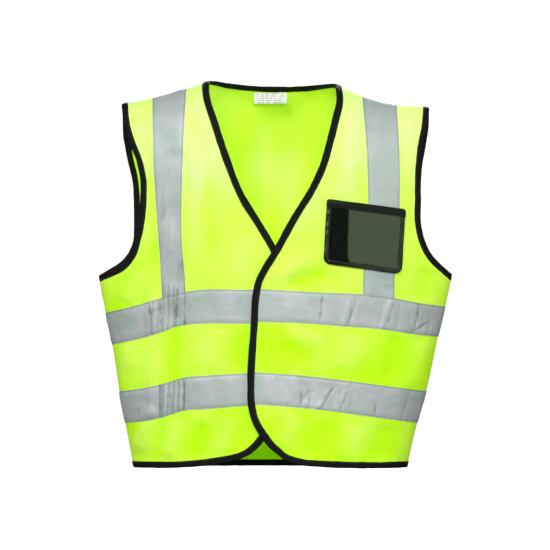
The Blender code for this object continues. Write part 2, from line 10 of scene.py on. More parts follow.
import bpy
import numpy as np
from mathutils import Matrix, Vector


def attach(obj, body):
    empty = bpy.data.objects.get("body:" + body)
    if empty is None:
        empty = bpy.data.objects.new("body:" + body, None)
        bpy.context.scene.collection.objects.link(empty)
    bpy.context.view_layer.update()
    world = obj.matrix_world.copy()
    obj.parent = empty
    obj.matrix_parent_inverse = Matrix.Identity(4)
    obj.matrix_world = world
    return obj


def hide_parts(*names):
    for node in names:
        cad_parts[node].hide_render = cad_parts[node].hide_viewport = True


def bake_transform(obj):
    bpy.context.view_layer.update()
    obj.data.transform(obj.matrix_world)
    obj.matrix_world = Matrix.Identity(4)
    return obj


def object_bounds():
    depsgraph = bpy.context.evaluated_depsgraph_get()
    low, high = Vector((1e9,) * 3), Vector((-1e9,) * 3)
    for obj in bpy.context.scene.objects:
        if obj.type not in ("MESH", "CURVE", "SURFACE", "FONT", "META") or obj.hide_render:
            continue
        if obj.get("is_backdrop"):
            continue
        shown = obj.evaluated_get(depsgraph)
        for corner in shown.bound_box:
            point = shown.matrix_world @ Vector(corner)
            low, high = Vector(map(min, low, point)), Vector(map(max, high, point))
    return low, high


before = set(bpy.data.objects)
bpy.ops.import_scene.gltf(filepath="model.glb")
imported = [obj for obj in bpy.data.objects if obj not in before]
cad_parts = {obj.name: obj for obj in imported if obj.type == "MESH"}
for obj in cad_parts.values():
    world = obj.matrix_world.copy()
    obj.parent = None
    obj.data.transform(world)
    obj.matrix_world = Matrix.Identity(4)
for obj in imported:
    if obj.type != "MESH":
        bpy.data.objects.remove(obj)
CAD_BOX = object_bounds()

# ---------------------------------------------------------------- dimensions, in metres

DROP = 0.595
FRONT_DEPTH = 0.095
BACK_DEPTH = 0.085
CROWN_DROP = 0.150
SIDE_ROUNDNESS = 0.65
FRONT = -1
BACK = 1
FACES = {"left": FRONT, "right": FRONT, "back": BACK}

CLOTH = 0.0005
TAPE = 0.0004
BRACE_LIFT = 0.0006
BAND_LIFT = 0.0012
BAND_EDGE_LIFT = 0.0008
TUCKED_LIFT = 0.0003
STITCH_INSET = 0.0018
SUNK_UNDER_TAPE = 0.0010
EDGE_WIDTH = 0.0112
HEM_WIDTH = 0.0102
BINDING_HALF = 0.00125
THREAD_LIFT = TAPE / 2 - 0.0001
SEAM_FADE = 0.022
SEWN_FADE = 0.007

FOLD_BODIES = {"left": "left_front", "right": "right_front"}
UNDERLAP_DEPTH = 0.0060
UNDERLAP_START = -0.075
UNDERLAP_RAMP = 0.030
SLOPE_STEP = 0.0005
ROW_PITCH = 0.0048
NEAR_EDGE, NEAR_SIDE = 0.05, 0.22


def curve(*points):
    """A cubic curve in metres through (where, value) points given in millimetres, as a function of where."""
    where, value = np.array(points, float).T / 1000
    slope = np.gradient(value, where)

    def at(place):
        place = np.clip(place, where[0], where[-1])
        k = np.clip(np.searchsorted(where, place) - 1, 0, len(where) - 2)
        span = where[k + 1] - where[k]
        t = (place - where[k]) / span
        start = (1 + 2 * t) * (1 - t) ** 2 * value[k] + t * (1 - t) ** 2 * span * slope[k]
        end = t * t * (3 - 2 * t) * value[k + 1] + t * t * (t - 1) * span * slope[k + 1]
        return start + end

    return at


LEFT_SIDE = curve((0, 203), (69, 219), (118, 233), (202, 251), (294, 272), (450, 281), (620, 281))
RIGHT_SIDE = curve((0, 220), (69, 233), (118, 242), (190, 253), (290, 273), (450, 282), (620, 282))
SHOULDER = curve((-300, 545), (-234, 563), (-191, 571), (-139, 586), (-101, 598), (0, 606), (90, 594),
                 (131, 577), (186, 562), (233, 557), (300, 540))

# x at each height, along the middle of the binding
EDGES = {
    "left": curve((9.5, 47), (14, 28), (29, 2.6), (52, -18), (73, -30.5), (98, -37), (129, -38), (222, -33),
                  (270, -29.5), (288, -25.5), (307, -16), (331, -1), (387, 30), (431, 57), (463.5, 72),
                  (505, 84), (537, 92), (566, 98.5), (591, 96.5)),
    "right": curve((19.5, -58), (24, -47), (32, -36), (48.5, -21), (75, -2), (105, 7), (140, 10), (285, 10),
                   (308, 8), (333, -2), (375, -26), (417, -52), (469.5, -73.5), (526.5, -92.5), (586, -108),
                   (599, -107)),
}
EDGE_SPAN = {"left": (0.0095, 0.591), "right": (0.0195, 0.598)}
ARMHOLES = {
    ("left", FRONT): curve((294, 271.5), (322, 241), (355, 224), (376, 219.5), (413, 218.5), (457, 218.5),
                           (500, 224), (522, 229), (557, 233)),
    ("right", FRONT): curve((292.5, -272.5), (307, -240), (325, -223), (353, -212), (384, -206), (417, -204),
                            (451, -205), (477, -211), (505, -223), (529, -230), (562, -234)),
    ("left", BACK): curve((294, 271.5), (322, 243), (355, 227), (376, 222.5), (413, 221.5), (457, 222),
                          (500, 229), (530, 233), (557, 233)),
    ("right", BACK): curve((292.5, -272.5), (313, -240), (346, -219), (370, -216.5), (405, -216.5),
                           (441, -218.5), (479, -227), (512, -232.5), (562, -234)),
}
ARMHOLE_SPAN = {"left": (0.294, 0.557), "right": (0.2925, 0.562)}

# Lines across each panel, as height at each x
LINES = {
    "left": {
        "hem": curve((-40, 10.5), (47, 9.5), (90, 6.8), (140, 5), (203, 4.5)),
        "lower": curve((-40, 100), (39, 94), (96, 87), (158, 78), (219, 69)),
        "lower top": curve((-40, 149), (35, 144), (120, 134), (182, 125), (233, 118)),
        "upper": curve((-40, 226), (49, 223), (101, 219), (163, 214), (208, 207), (251, 202)),
        "upper top": curve((-40, 277), (84.5, 270), (134, 268), (182, 262), (220, 254.5), (261, 249)),
        "underarm": curve((-40, 327), (130, 316), (272, 293)),
    },
    "right": {
        "hem": curve((-220.6, 4.5), (-143, 6.5), (-94, 12), (-75, 15.5), (-58, 19.5)),
        "lower": curve((-233, 69), (-205, 72), (-178, 77.5), (-139, 89.5), (-110, 91.5), (-43, 97), (20, 99)),
        "lower top": curve((-242, 117.5), (-205, 123), (-178, 129), (-139, 140.5), (-110, 143), (-42, 147),
                           (20, 149)),
        "upper": curve((-253, 190), (-209, 199.5), (-178, 208.5), (-150, 219), (-136, 221), (-36, 223),
                       (20, 224)),
        "upper top": curve((-264, 239), (-217.5, 250), (-178, 261.5), (-150, 269), (-139, 271.5), (-35, 275),
                           (20, 276)),
        "underarm": curve((-272, 292), (-150, 318), (20, 332)),
    },
    "back": {
        "hem": curve((-220, 4.5), (0, 4), (203, 4.5)),
        "lower": curve((-233, 69), (0, 92), (219, 69)),
        "lower top": curve((-242, 117.5), (0, 142), (233, 118)),
        "upper": curve((-253, 190), (0, 217), (251, 202)),
        "upper top": curve((-264, 239), (0, 267), (261, 249)),
        "underarm": curve((-272, 292), (0, 305), (272, 293)),
    },
}
NECK_CORNERS = (-0.107, 0.0965)
NECK_ANGLE = 0.52
CROWN_BASE = 1.45
CROWN_ROWS = 34
FRONT_COLUMNS, BACK_COLUMNS = 90, 85
BAND_COLUMNS = {"left": 150, "right": 150, "back": 120}
HEM_COLUMNS = 300
BRACE_MIDDLE = {"left": 0.16, "right": -0.16}
BRACE_WIDTH = 0.050
BRACE_PITCH = 0.0028
BINDING_PITCH = 0.0028

# Brace tapes: x nearer the neck and x nearer the arm, at each height
BRACES = {
    "left": (curve((240, 133.5), (287, 134), (405, 142), (479, 140), (577, 133)),
             curve((240, 183), (287, 183), (405, 190.5), (479, 190), (562, 186))),
    "right": (curve((240, -139), (275, -139), (360, -144.5), (441, -143.5), (585, -138)),
              curve((240, -175), (275, -176), (360, -181), (441, -187), (570, -191))),
}
BACK_BRACES = {"left": (0.133, 0.186), "right": (-0.138, -0.191)}


# ---------------------------------------------------------------- relief: folds, creases and puckers

def lattice(seed, spacing, turn=0.6):
    """Smooth noise between -1 and 1 over the (x, height) plane."""
    size = 64
    values = np.random.default_rng(seed).uniform(-1, 1, (size, size))

    def at(x, z):
        u = (x * math.cos(turn) - z * math.sin(turn)) / spacing + 100
        v = (x * math.sin(turn) + z * math.cos(turn)) / spacing + 100
        i, j = np.floor(u).astype(int), np.floor(v).astype(int)
        s, t = u - i, v - j
        s, t = s * s * (3 - 2 * s), t * t * (3 - 2 * t)
        corner = lambda a, b: values[(i + a) % size, (j + b) % size]
        low = corner(0, 0) * (1 - s) + corner(1, 0) * s
        high = corner(0, 1) * (1 - s) + corner(1, 1) * s
        return low * (1 - t) + high * t

    return at


BROAD = lattice(3, 0.070)
MIDDLE = lattice(7, 0.030, 0.2)
FINE = lattice(11, 0.011, 1.1)
CRUMPLE = lattice(17, 0.0065)
STRETCHED = lattice(23, 0.016, 0.0)
CREASED = lattice(29, 0.017, 0.35)


def metres(table):
    """Each panel's rows of millimetres, in metres."""
    return {panel: np.array(rows) / 1000 for panel, rows in table.items()}


# In millimetres, soft folds and sharp creases: (x, height) at each end, half width, height above the cloth
SOFT = metres({
    "right": [
        (-215, 20, -190, 100, 16, 3.5), (-165, 10, -150, 80, 13, 3), (-125, 10, -110, 75, 14, -3.2),
        (-85, 20, -70, 90, 12, 3), (-160, 100, -158, 270, 16, -3.5), (-192, 50, -190, 290, 10, 2.8),
        (-225, 140, -215, 260, 18, 2.2), (-110, 150, -85, 220, 22, 3), (-50, 155, -40, 215, 14, -2.5),
        (-130, 290, -120, 500, 13, 3), (-98, 300, -104, 460, 12, -2.2), (-180, 300, -200, 470, 12, -2.8),
        (-60, 290, -40, 360, 15, 2.6), (-235, 250, -200, 310, 16, 2.8), (-150, 480, -160, 560, 16, 2)
    ],
    "left": [
        (5, 30, 35, 85, 16, 3.4), (60, 15, 75, 75, 15, -2.8), (105, 10, 120, 70, 18, 2.6),
        (165, 10, 170, 70, 18, -2.2), (0, 190, 60, 165, 13, -3.4), (10, 215, 80, 195, 13, 2.8),
        (105, 150, 125, 210, 18, 2.6), (180, 130, 190, 210, 16, -2.6), (215, 120, 228, 200, 14, 2.2),
        (-10, 285, 60, 330, 14, 3.8), (10, 283, 80, 303, 10, -3), (60, 300, 105, 290, 12, -2),
        (220, 260, 235, 310, 14, -2.4), (110, 430, 118, 560, 13, 2.2), (205, 420, 208, 540, 10, 2.2),
        (90, 420, 125, 440, 16, 2.2)
    ],
    "back": [
        (-160, 20, -130, 450, 22, 4), (-60, 10, -50, 400, 24, -4.5), (30, 20, 20, 520, 20, 5),
        (100, 10, 120, 420, 22, -4), (190, 20, 180, 300, 20, 3.5), (-75, 400, -50, 570, 14, -3.5),
        (65, 380, 55, 570, 14, -3.5), (-20, 360, -15, 560, 16, 3), (-210, 100, -200, 280, 18, -3),
        (-130, 470, 130, 460, 30, 2.5)
    ],
})
SHARP = metres({
    "right": [
        (-178, 50, -177.5, 152, 2.6, -3), (-178, 190, -177.2, 285, 2.6, -3), (-170, 60, -170, 150, 3.5, 2),
        (-140, 70, -139.5, 152, 1.6, -1.4), (-140, 205, -139.5, 290, 1.3, -0.8),
        (-156, 205, -150, 290, 2, -1.6), (-149, 210, -145.5, 275, 2, 1.4), (-190, 200, -193, 262, 1.6, -1.2)
    ],
    "left": [
        (66, 215, 73, 275, 1.4, -1.2), (102, 212, 118, 275, 2.4, 2), (108, 212, 124, 270, 1.3, -1.6),
        (160, 208, 181, 268, 2.4, 1.9), (166, 208, 186, 262, 1.3, -1.4), (218, 230, 220, 258, 1.3, -1),
        (205, 206, 240, 228, 1.6, -1.2), (37, 90, 40, 147, 1.2, -1), (47, 90, 50, 147, 1.6, 1.2),
        (60, 86, 86, 130, 2.2, 1.7), (66, 86, 92, 132, 1.3, -1.4), (92, 84, 113, 140, 2.4, 2),
        (97, 84, 118, 138, 1.3, -1.5), (150, 76, 154, 104, 1.3, -1), (145, 280, 190, 288, 2.2, 1)
    ],
    "back": [
        (-150, 80, -142, 134, 1.6, -1.4), (-80, 85, -70, 145, 1.4, -1.4), (60, 85, 74, 142, 2.4, 1.6),
        (150, 74, 140, 132, 1.4, -1.2), (-120, 205, -130, 268, 2.4, 1.4), (-30, 210, -18, 270, 1.4, -1.3),
        (90, 206, 80, 268, 1.4, -1.4), (190, 200, 200, 256, 1.4, -1.2)
    ],
})


# Where the cloth is crumpled: (x, height), reach across and up, depth of the crumples
CRUMPLED = metres({
    "right": [
        (-180, 440, 8, 55, 2.2), (-172, 365, 13, 45, 2.6), (-152, 310, 18, 34, 2.2),
        (-158, 110, 16, 34, 1.2), (-165, 238, 22, 32, 1.6), (-205, 95, 18, 20, 0.8)
    ],
    "left": [
        (222, 220, 20, 17, 2.2), (95, 108, 30, 20, 1.6), (112, 240, 20, 24, 1.3), (178, 238, 24, 24, 1.4),
        (44, 118, 20, 24, 1.2), (205, 92, 16, 26, 1.2), (165, 288, 16, 10, 1)
    ],
    "back": [(-145, 110, 30, 22, 1), (110, 235, 30, 22, 1), (160, 420, 15, 50, 1), (-165, 380, 15, 50, 0.9)],
})
# Narrow upright pleats: left and right ends, lower and upper ends, height
PLEATED = metres({
    "right": [(-181, -137, 62, 156, 0.9), (-197, -150, 195, 288, 0.7)],
    "left": [],
    "back": [],
})
BROAD_RISE, MIDDLE_RISE, FINE_RISE = 0.0016, 0.0009, 0.00022
END_FADE = 0.22
CREASE_WANDER = 0.0012
PLEAT_PITCH = 0.0078
PUCKER_PITCH = 0.0085
PUCKER = 0.00022
CRUMPLE_LEAN = 0.22
DEEPEST_FOLD = 0.009
# Where the cloth's painted fold highlight starts: lower on the back, so its cloth is painted deeper, as if in
# shade.
FOLD_LEVEL = {FRONT: 0.5, BACK: 0.1}


def mix(a, b, t):
    return a + (b - a) * t


def smoothstep(t):
    t = np.clip(t, 0, 1)
    return t * t * (3 - 2 * t)


def unit(v):
    return v / np.linalg.norm(v, axis=-1, keepdims=True)


def distances(points):
    """How far along a path each of its points lies."""
    return np.concatenate([[0], np.cumsum(np.linalg.norm(np.diff(points, axis=0), axis=1))])


def inside(value, low, high, margin):
    """1 well between low and high, 0 outside them."""
    return smoothstep((value - low) / margin) * smoothstep((high - value) / margin)


def along_segment(x, z, ends):
    """Distance from a segment, and a weight that fades towards its two ends."""
    x0, z0, x1, z1 = ends
    dx, dz = x1 - x0, z1 - z0
    length = math.hypot(dx, dz)
    t = ((x - x0) * dx + (z - z0) * dz) / length ** 2
    away = np.abs((x - x0) * dz - (z - z0) * dx) / length
    end = np.clip(np.minimum(t, 1 - t) / END_FADE, -1.5, 1)
    return away, np.where(end > 0, end * end * (3 - 2 * end), 0.0)


def seams(x, z, panel):
    """1 on the sewn lines across a panel and 0 well away from them."""
    near = [np.abs(z - LINES[panel][name](x)) for name in ("hem", "lower", "lower top", "upper", "upper top")]
    return np.exp(-(np.min(near, axis=0) / SEWN_FADE) ** 2)


def soft_relief(x, z, panel):
    """The broad folds and undulations of a panel."""
    rise = BROAD_RISE * BROAD(x, z) + MIDDLE_RISE * MIDDLE(x * 1.5, z * 0.6)
    for *ends, width, height in SOFT[panel]:
        away, weight = along_segment(x, z, ends)
        rise = rise + height * weight * np.exp(-(away / width) ** 2)
    return rise


def creases(x, z, panel):
    """The height of a panel's creases, crumples and pleats, and how much shade is painted into them, from 0
    to 1.
    """
    rise, mark = np.zeros(np.shape(x)), np.zeros(np.shape(x))
    for *ends, width, height in SHARP[panel]:
        away, weight = along_segment(x, z, ends)
        away = np.hypot(away + CREASE_WANDER * CREASED(x * 2, z * 2), 0.25 * width)
        weight = weight * (0.70 + 0.30 * STRETCHED(x, z))
        rise = rise + height * weight * np.exp(-away / width)
        # Painted shade along the creases, heavier in the valleys than on the ridges.
        mark = np.maximum(mark, weight * np.exp(-away / (1.1 * width)) * (1.3 if height < 0 else 0.2))
    for x0, z0, reach_x, reach_z, height in CRUMPLED[panel]:
        weight = np.exp(-((x - x0) / reach_x) ** 2 - ((z - z0) / reach_z) ** 2)
        leaning = x - CRUMPLE_LEAN * z
        ridge = 0.75 * (1 - np.abs(CREASED(leaning, z * 0.2))) ** 5
        ridge = ridge + 0.35 * (1 - np.abs(FINE(leaning, z * 0.3))) ** 4
        rise = rise - height * weight * ridge
        # Painted shade in the crumples' hollows.
        mark = np.maximum(mark, 0.8 * weight * ridge ** 1.5)
    for x0, x1, z0, z1, height in PLEATED[panel]:
        weight = inside(x, x0, x1, 0.004) * inside(z, z0, z1, 0.012)
        swing = np.sin(2 * math.pi * (x + 0.0015 * MIDDLE(x, z)) / PLEAT_PITCH)
        rise = rise + height * weight * swing
        # Painted shade over the pleated patch, darkest in the pleats' hollows.
        mark = np.maximum(mark, weight * (0.22 + 0.45 * np.clip(-swing, 0, 1) ** 3))
    return rise, mark


def relief(x, z, panel):
    """How far the cloth stands off its smooth shell: less where the fronts overlap and under the pocket."""
    rise = soft_relief(x, z, panel) + creases(x, z, panel)[0] + FINE_RISE * FINE(x, z)
    if panel == "right":
        rise = rise * (1 - 0.7 * smoothstep((x + 0.070) / 0.030))
    if panel == "left":
        rise = rise * (1 - 0.6 * smoothstep((0.015 - x) / 0.025))
        rise = rise * (1 - 0.9 * inside(x, 0.060, 0.210, 0.025) * inside(z, 0.286, 0.430, 0.025))
    sewn = seams(x, z, panel)
    pucker = np.sin(2 * math.pi * (x / PUCKER_PITCH + 0.8 * MIDDLE(x, z)))
    return rise * (1 - 0.35 * sewn) + PUCKER * sewn * pucker


def shading_marks(x, z, panel):
    """For the materials: how high each place stands on the soft folds, from which the cloth paints a
    highlight on raised folds and shade in their hollows, and how creased it is, from which the tape paints
    shade.
    """
    level = FOLD_LEVEL[FACES[panel]]
    fold = np.clip(level + soft_relief(x, z, panel) / DEEPEST_FOLD, 0, 1)
    return {"fold": fold, "crease_shade": creases(x, z, panel)[1]}


# ---------------------------------------------------------------- the shell

def bare_shell(x, z, face):
    half = np.where(x > 0, LEFT_SIDE(z), RIGHT_SIDE(z))
    x = np.clip(x, -half, half)
    z = np.minimum(z, SHOULDER(x))
    across = (1 - (x / half) ** 2) ** SIDE_ROUNDNESS
    drop = np.clip((SHOULDER(x) - z) / CROWN_DROP, 0, 1)
    reach = FRONT_DEPTH if face == FRONT else BACK_DEPTH
    y = face * reach * across * np.sqrt(1 - (1 - drop) ** 2)
    return np.stack([x, y, z - DROP], -1)


def normals_of(surface, x, z, face):
    across = surface(x + SLOPE_STEP, z) - surface(x - SLOPE_STEP, z)
    up = surface(x, z + SLOPE_STEP) - surface(x, z - SLOPE_STEP)
    normal = -face * np.cross(across, up)
    return normal / np.maximum(np.linalg.norm(normal, axis=-1, keepdims=True), 1e-12)


def cloth(x, z, panel):
    """The middle of a panel's cloth."""
    face = FACES[panel]
    base = bare_shell(x, z, face)
    normal = normals_of(lambda a, b: bare_shell(a, b, face), x, z, face)
    fade = smoothstep(np.abs(base[..., 1]) / SEAM_FADE)
    points = base + normal * (relief(x, z, panel) * fade)[..., None]
    if panel == "right":
        points[..., 1] += UNDERLAP_DEPTH * smoothstep((x - UNDERLAP_START) / UNDERLAP_RAMP)
    return points


def on_cloth(x, z, panel, lift=0.0):
    """Points lifted off a panel, and their outward normals."""
    x, z = np.asarray(x, float), np.asarray(z, float)
    points = cloth(x, z, panel)
    normal = normals_of(lambda a, b: cloth(a, b, panel), x, z, FACES[panel])
    return points + normal * np.asarray(lift)[..., None], normal


# ---------------------------------------------------------------- rows across a panel

def crown_line(angle):
    return lambda x: SHOULDER(x) - CROWN_DROP * (1 - np.cos(angle))


def meeting(row, edge, start):
    """The x where a row meets an edge."""
    x = start
    for _ in range(14):
        x = float(edge(row(x)))
    return x


def row_lines(panel):
    """Rows of a panel from its hem to the crown, as functions of x, evenly spaced between its lines."""
    names = ["hem", "lower", "lower top", "upper", "upper top", "underarm"]
    lines = [LINES[panel][name] for name in names] + [crown_line(CROWN_BASE)]
    rows = []
    for k, (below, above) in enumerate(zip(lines, lines[1:])):
        count = max(2, round(abs(float(above(0.1) - below(0.1))) / ROW_PITCH))
        power = 1.25 if k == 0 else 1.0
        shares = [(j / count) ** power for j in range(count)]
        rows += [lambda x, b=below, a=above, t=t: mix(b(x), a(x), t) for t in shares]
    return rows


def outer_x(row, side, face):
    """The x where a row meets the side seam or, higher up, the armhole."""
    sign = 1 if side == "left" else -1
    seam = LEFT_SIDE if side == "left" else RIGHT_SIDE
    if row(sign * (NEAR_SIDE + 0.02)) < ARMHOLE_SPAN[side][0] - 0.004:
        return meeting(row, lambda z: sign * seam(z), sign * NEAR_SIDE)
    return meeting(row, ARMHOLES[side, face], sign * NEAR_SIDE)


def turned(start, end, count):
    """x from start to end, closer together towards end, where the shell turns into the side seam."""
    t = np.linspace(0, 1, count)
    return start + (end - start) * mix(t, np.sin(math.pi / 2 * t), 0.75)


def along_row(row, panel, columns):
    """x along a row: out from a front's edge, or across the back from the right seam to the left."""
    if panel == "back":
        right, left = (turned(0, outer_x(row, side, BACK), columns) for side in ("right", "left"))
        return np.concatenate([right[:0:-1], left])
    inner = meeting(row, EDGES[panel], NEAR_EDGE if panel == "left" else -NEAR_EDGE)
    return turned(inner, outer_x(row, panel, FRONT), columns)


def places_on(rows, panel, columns):
    xs = np.array([along_row(row, panel, columns) for row in rows])
    return xs, np.array([row(x) for row, x in zip(rows, xs)])


def front_places(side):
    rows = row_lines(side) + [crown_line(angle) for angle in np.linspace(CROWN_BASE, 0.0, CROWN_ROWS)]
    return places_on(rows, side, FRONT_COLUMNS)


def neck_angle(x):
    """The angle round the crown at which the back neckline lies, 0 beyond its corners."""
    right, left = NECK_CORNERS
    t = (2 * x - right - left) / (left - right)
    return NECK_ANGLE * np.sqrt(np.clip(1 - t * t, 0, 1))


def back_places():
    """The back's rows, which bend over the crown until the last is the neckline and shoulder seams."""
    xs, zs = places_on(row_lines("back"), "back", BACK_COLUMNS)
    shares = np.linspace(0, 1, CROWN_ROWS)
    rows = [crown_line(CROWN_BASE * (1 - share)) for share in shares]
    crown_xs = np.array([along_row(row, "back", BACK_COLUMNS) for row in rows])
    crown_zs = [crown_line(mix(CROWN_BASE, neck_angle(x), share))(x) for share, x in zip(shares, crown_xs)]
    return np.concatenate([xs, crown_xs]), np.concatenate([zs, crown_zs])


# ---------------------------------------------------------------- meshes

def cumulative(points, axis):
    steps = np.linalg.norm(np.diff(points, axis=axis), axis=-1)
    pad = [(0, 0), (0, 0)]
    pad[axis] = (1, 0)
    return np.cumsum(np.pad(steps, pad), axis=axis)


def new_piece(name, verts, faces, uvs, material, sharp=1.0, marks=None):
    """A smooth-shaded mesh object with a UV for each point. Edges that bend by more than sharp stay sharp."""
    mesh = bpy.data.meshes.new(name)
    mesh.from_pydata(np.asarray(verts).tolist(), [], [tuple(int(i) for i in face) for face in faces])
    layer = mesh.uv_layers.new(name="UVMap")
    corners = np.empty(len(mesh.loops), np.int32)
    mesh.loops.foreach_get("vertex_index", corners)
    layer.data.foreach_set("uv", np.asarray(uvs, np.float32)[corners].ravel())
    for key, values in (marks or {}).items():
        mark = mesh.attributes.new(key, "FLOAT", "POINT")
        mark.data.foreach_set("value", np.asarray(values, np.float32).ravel())
    mesh.shade_smooth()
    mesh.set_sharp_from_angle(angle=sharp)
    mesh.materials.append(material)
    made = bpy.data.objects.new(name, mesh)
    bpy.context.scene.collection.objects.link(made)
    return made


def grid_faces(rows, columns, closed=False):
    index = np.arange(rows * columns).reshape(rows, columns)
    if closed:
        index = np.concatenate([index, index[:, :1]], axis=1)
    quads = np.stack([index[:-1, :-1], index[:-1, 1:], index[1:, 1:], index[1:, :-1]], -1)
    return quads.reshape(-1, 4)


def sheet_piece(name, points, normals, material, thickness, marks=None, uvs=None):
    """A grid of points as a closed sheet whose outer side faces along the normals."""
    rows, columns = points.shape[:2]
    faces = grid_faces(rows, columns)
    i, j = rows // 2, columns // 2
    across, up = points[i, j + 1] - points[i, j], points[i + 1, j] - points[i, j]
    count = rows * columns
    index = np.arange(count).reshape(rows, columns)
    border = np.concatenate([index[0, :-1], index[:-1, -1], index[-1, :0:-1], index[:0:-1, 0]])
    after = np.roll(border, -1)
    rim = np.stack([border, after, after + count, border + count], -1)
    if np.dot(np.cross(across, up), normals[i, j]) < 0:
        faces = faces[:, ::-1]
    else:
        rim = rim[:, ::-1]
    half = normals * thickness / 2
    verts = np.concatenate([(points + half).reshape(-1, 3), (points - half).reshape(-1, 3)])
    if uvs is None:
        uvs = np.stack([cumulative(points, 1), cumulative(points, 0)], -1)
    uvs = np.reshape(uvs, (-1, 2))
    marks = {key: np.tile(values.ravel(), 2) for key, values in (marks or {}).items()}
    faces = [*faces, *(faces[:, ::-1] + count), *rim]
    return new_piece(name, verts, faces, np.tile(uvs, (2, 1)), material, marks=marks)


def resampled(points, normals, pitch, closed=False):
    """A path with a point every pitch along it, and smoothed normals."""
    if closed:
        points, normals = np.concatenate([points, points[:1]]), np.concatenate([normals, normals[:1]])
    length = distances(points)
    count = max(int(length[-1] / pitch), 2)
    at = np.linspace(0, length[-1], count + 1)[:count if closed else None]
    path, side = (np.stack([np.interp(at, length, v[:, k]) for k in range(3)], -1) for v in (points, normals))
    for _ in range(3):
        side[1:-1] = (side[:-2] + side[1:-1] + side[2:]) / 3
    return path, unit(side), at


def frames(path, normals, closed=False):
    """The direction of travel, the sideways direction and the normal, at right angles, along a path."""
    along = np.roll(path, -1, 0) - np.roll(path, 1, 0) if closed else np.gradient(path, axis=0)
    along = unit(along)
    sideways = unit(np.cross(along, normals))
    return along, sideways, np.cross(sideways, along)


# The section of a folded binding: shares of its half width towards the fold, and of its half thickness
HALF_SECTION = [(-1.0, 0.45), (-0.93, 0.86), (-0.62, 0.90), (-0.30, 1.0), (0.25, 1.04), (0.68, 0.92),
                (0.93, 0.55)]
SECTION = HALF_SECTION + [(1.0, 0.0)] + [(across, -rise) for across, rise in reversed(HALF_SECTION)]


def wobble(at, seed, wave):
    """Smooth noise along a path."""
    values = np.random.default_rng(seed).uniform(-1, 1, 1024)
    return np.interp(at / wave, np.arange(1024), values)


def rolled(path, normals, at, width, half, seed, outside, closed=False):
    """The rings of a folded binding along a path, its folded edge on the side that outside says, 1 or -1."""
    _, sideways, up = frames(path, normals, closed)
    swell = 1 + 0.05 * wobble(at, seed, 0.013) + 0.03 * wobble(at, seed + 1, 0.004)
    thick = 1 + 0.12 * wobble(at, seed + 2, 0.006)
    reach, rise = sideways * (outside * width / 2 * swell)[:, None], up * (half * thick)[:, None]
    return np.stack([path + reach * across + rise * high for across, high in SECTION], 1)


def roll_piece(name, rings, at, material, outside, closed=False):
    count, sides = rings.shape[:2]
    faces = grid_faces(count, sides, True).tolist()
    last = (count - 1) * sides
    if closed:
        faces += [(last + k, last + (k + 1) % sides, (k + 1) % sides, k) for k in range(sides)]
    else:
        faces += [tuple(range(sides))[::-1], tuple(last + k for k in range(sides))]
    if outside > 0:
        faces = [face[::-1] for face in faces]
    uvs = np.stack(np.broadcast_arrays(at[:, None], distances(rings[0])), -1).reshape(-1, 2)
    return new_piece(name, rings.reshape(-1, 3), faces, uvs, material)


def thread(path, normals, length=0.0023, gap=0.0009, radius=0.00023, sides=4):
    """The points and faces of a row of stitches: short lengths of thread that arch out of the cloth."""
    path, normals, _ = resampled(path, normals, length + gap)
    along, sideways, up = frames(path, normals)
    shape = [(-0.5, 0.0, 0.0, -1.0)]
    for share in (-0.3, 0.3):
        turns = [2 * math.pi * k / sides for k in range(sides)]
        shape += [(share, math.cos(a), math.sin(a), 0.2) for a in turns]
    shape.append((0.5, 0.0, 0.0, -1.0))
    verts = [
        path + along * share * length + sideways * radius * a + up * radius * (b + rise)
        for share, a, b, rise in shape
    ]
    size = len(verts)
    ring = lambda r, k: 1 + r * sides + k % sides
    faces = [(0, ring(0, k + 1), ring(0, k)) for k in range(sides)]
    faces += [(ring(0, k), ring(0, k + 1), ring(1, k + 1), ring(1, k)) for k in range(sides)]
    faces += [(size - 1, ring(1, k), ring(1, k + 1)) for k in range(sides)]
    return np.stack(verts, 1), faces, size


def stitches(name, lines, material, **sizes):
    """Rows of stitches along several (points, normals) lines, as one piece."""
    verts, faces = [], []
    for path, normals in lines:
        points, shape, size = thread(path, normals, **sizes)
        first = sum(len(v) for v in verts)
        verts.append(points.reshape(-1, 3))
        faces += [tuple(first + n * size + i for i in face) for n in range(len(points)) for face in shape]
    verts = np.concatenate(verts)
    return new_piece(name, verts, faces, verts[:, [0, 2]], material, sharp=math.pi)


# ---------------------------------------------------------------- materials

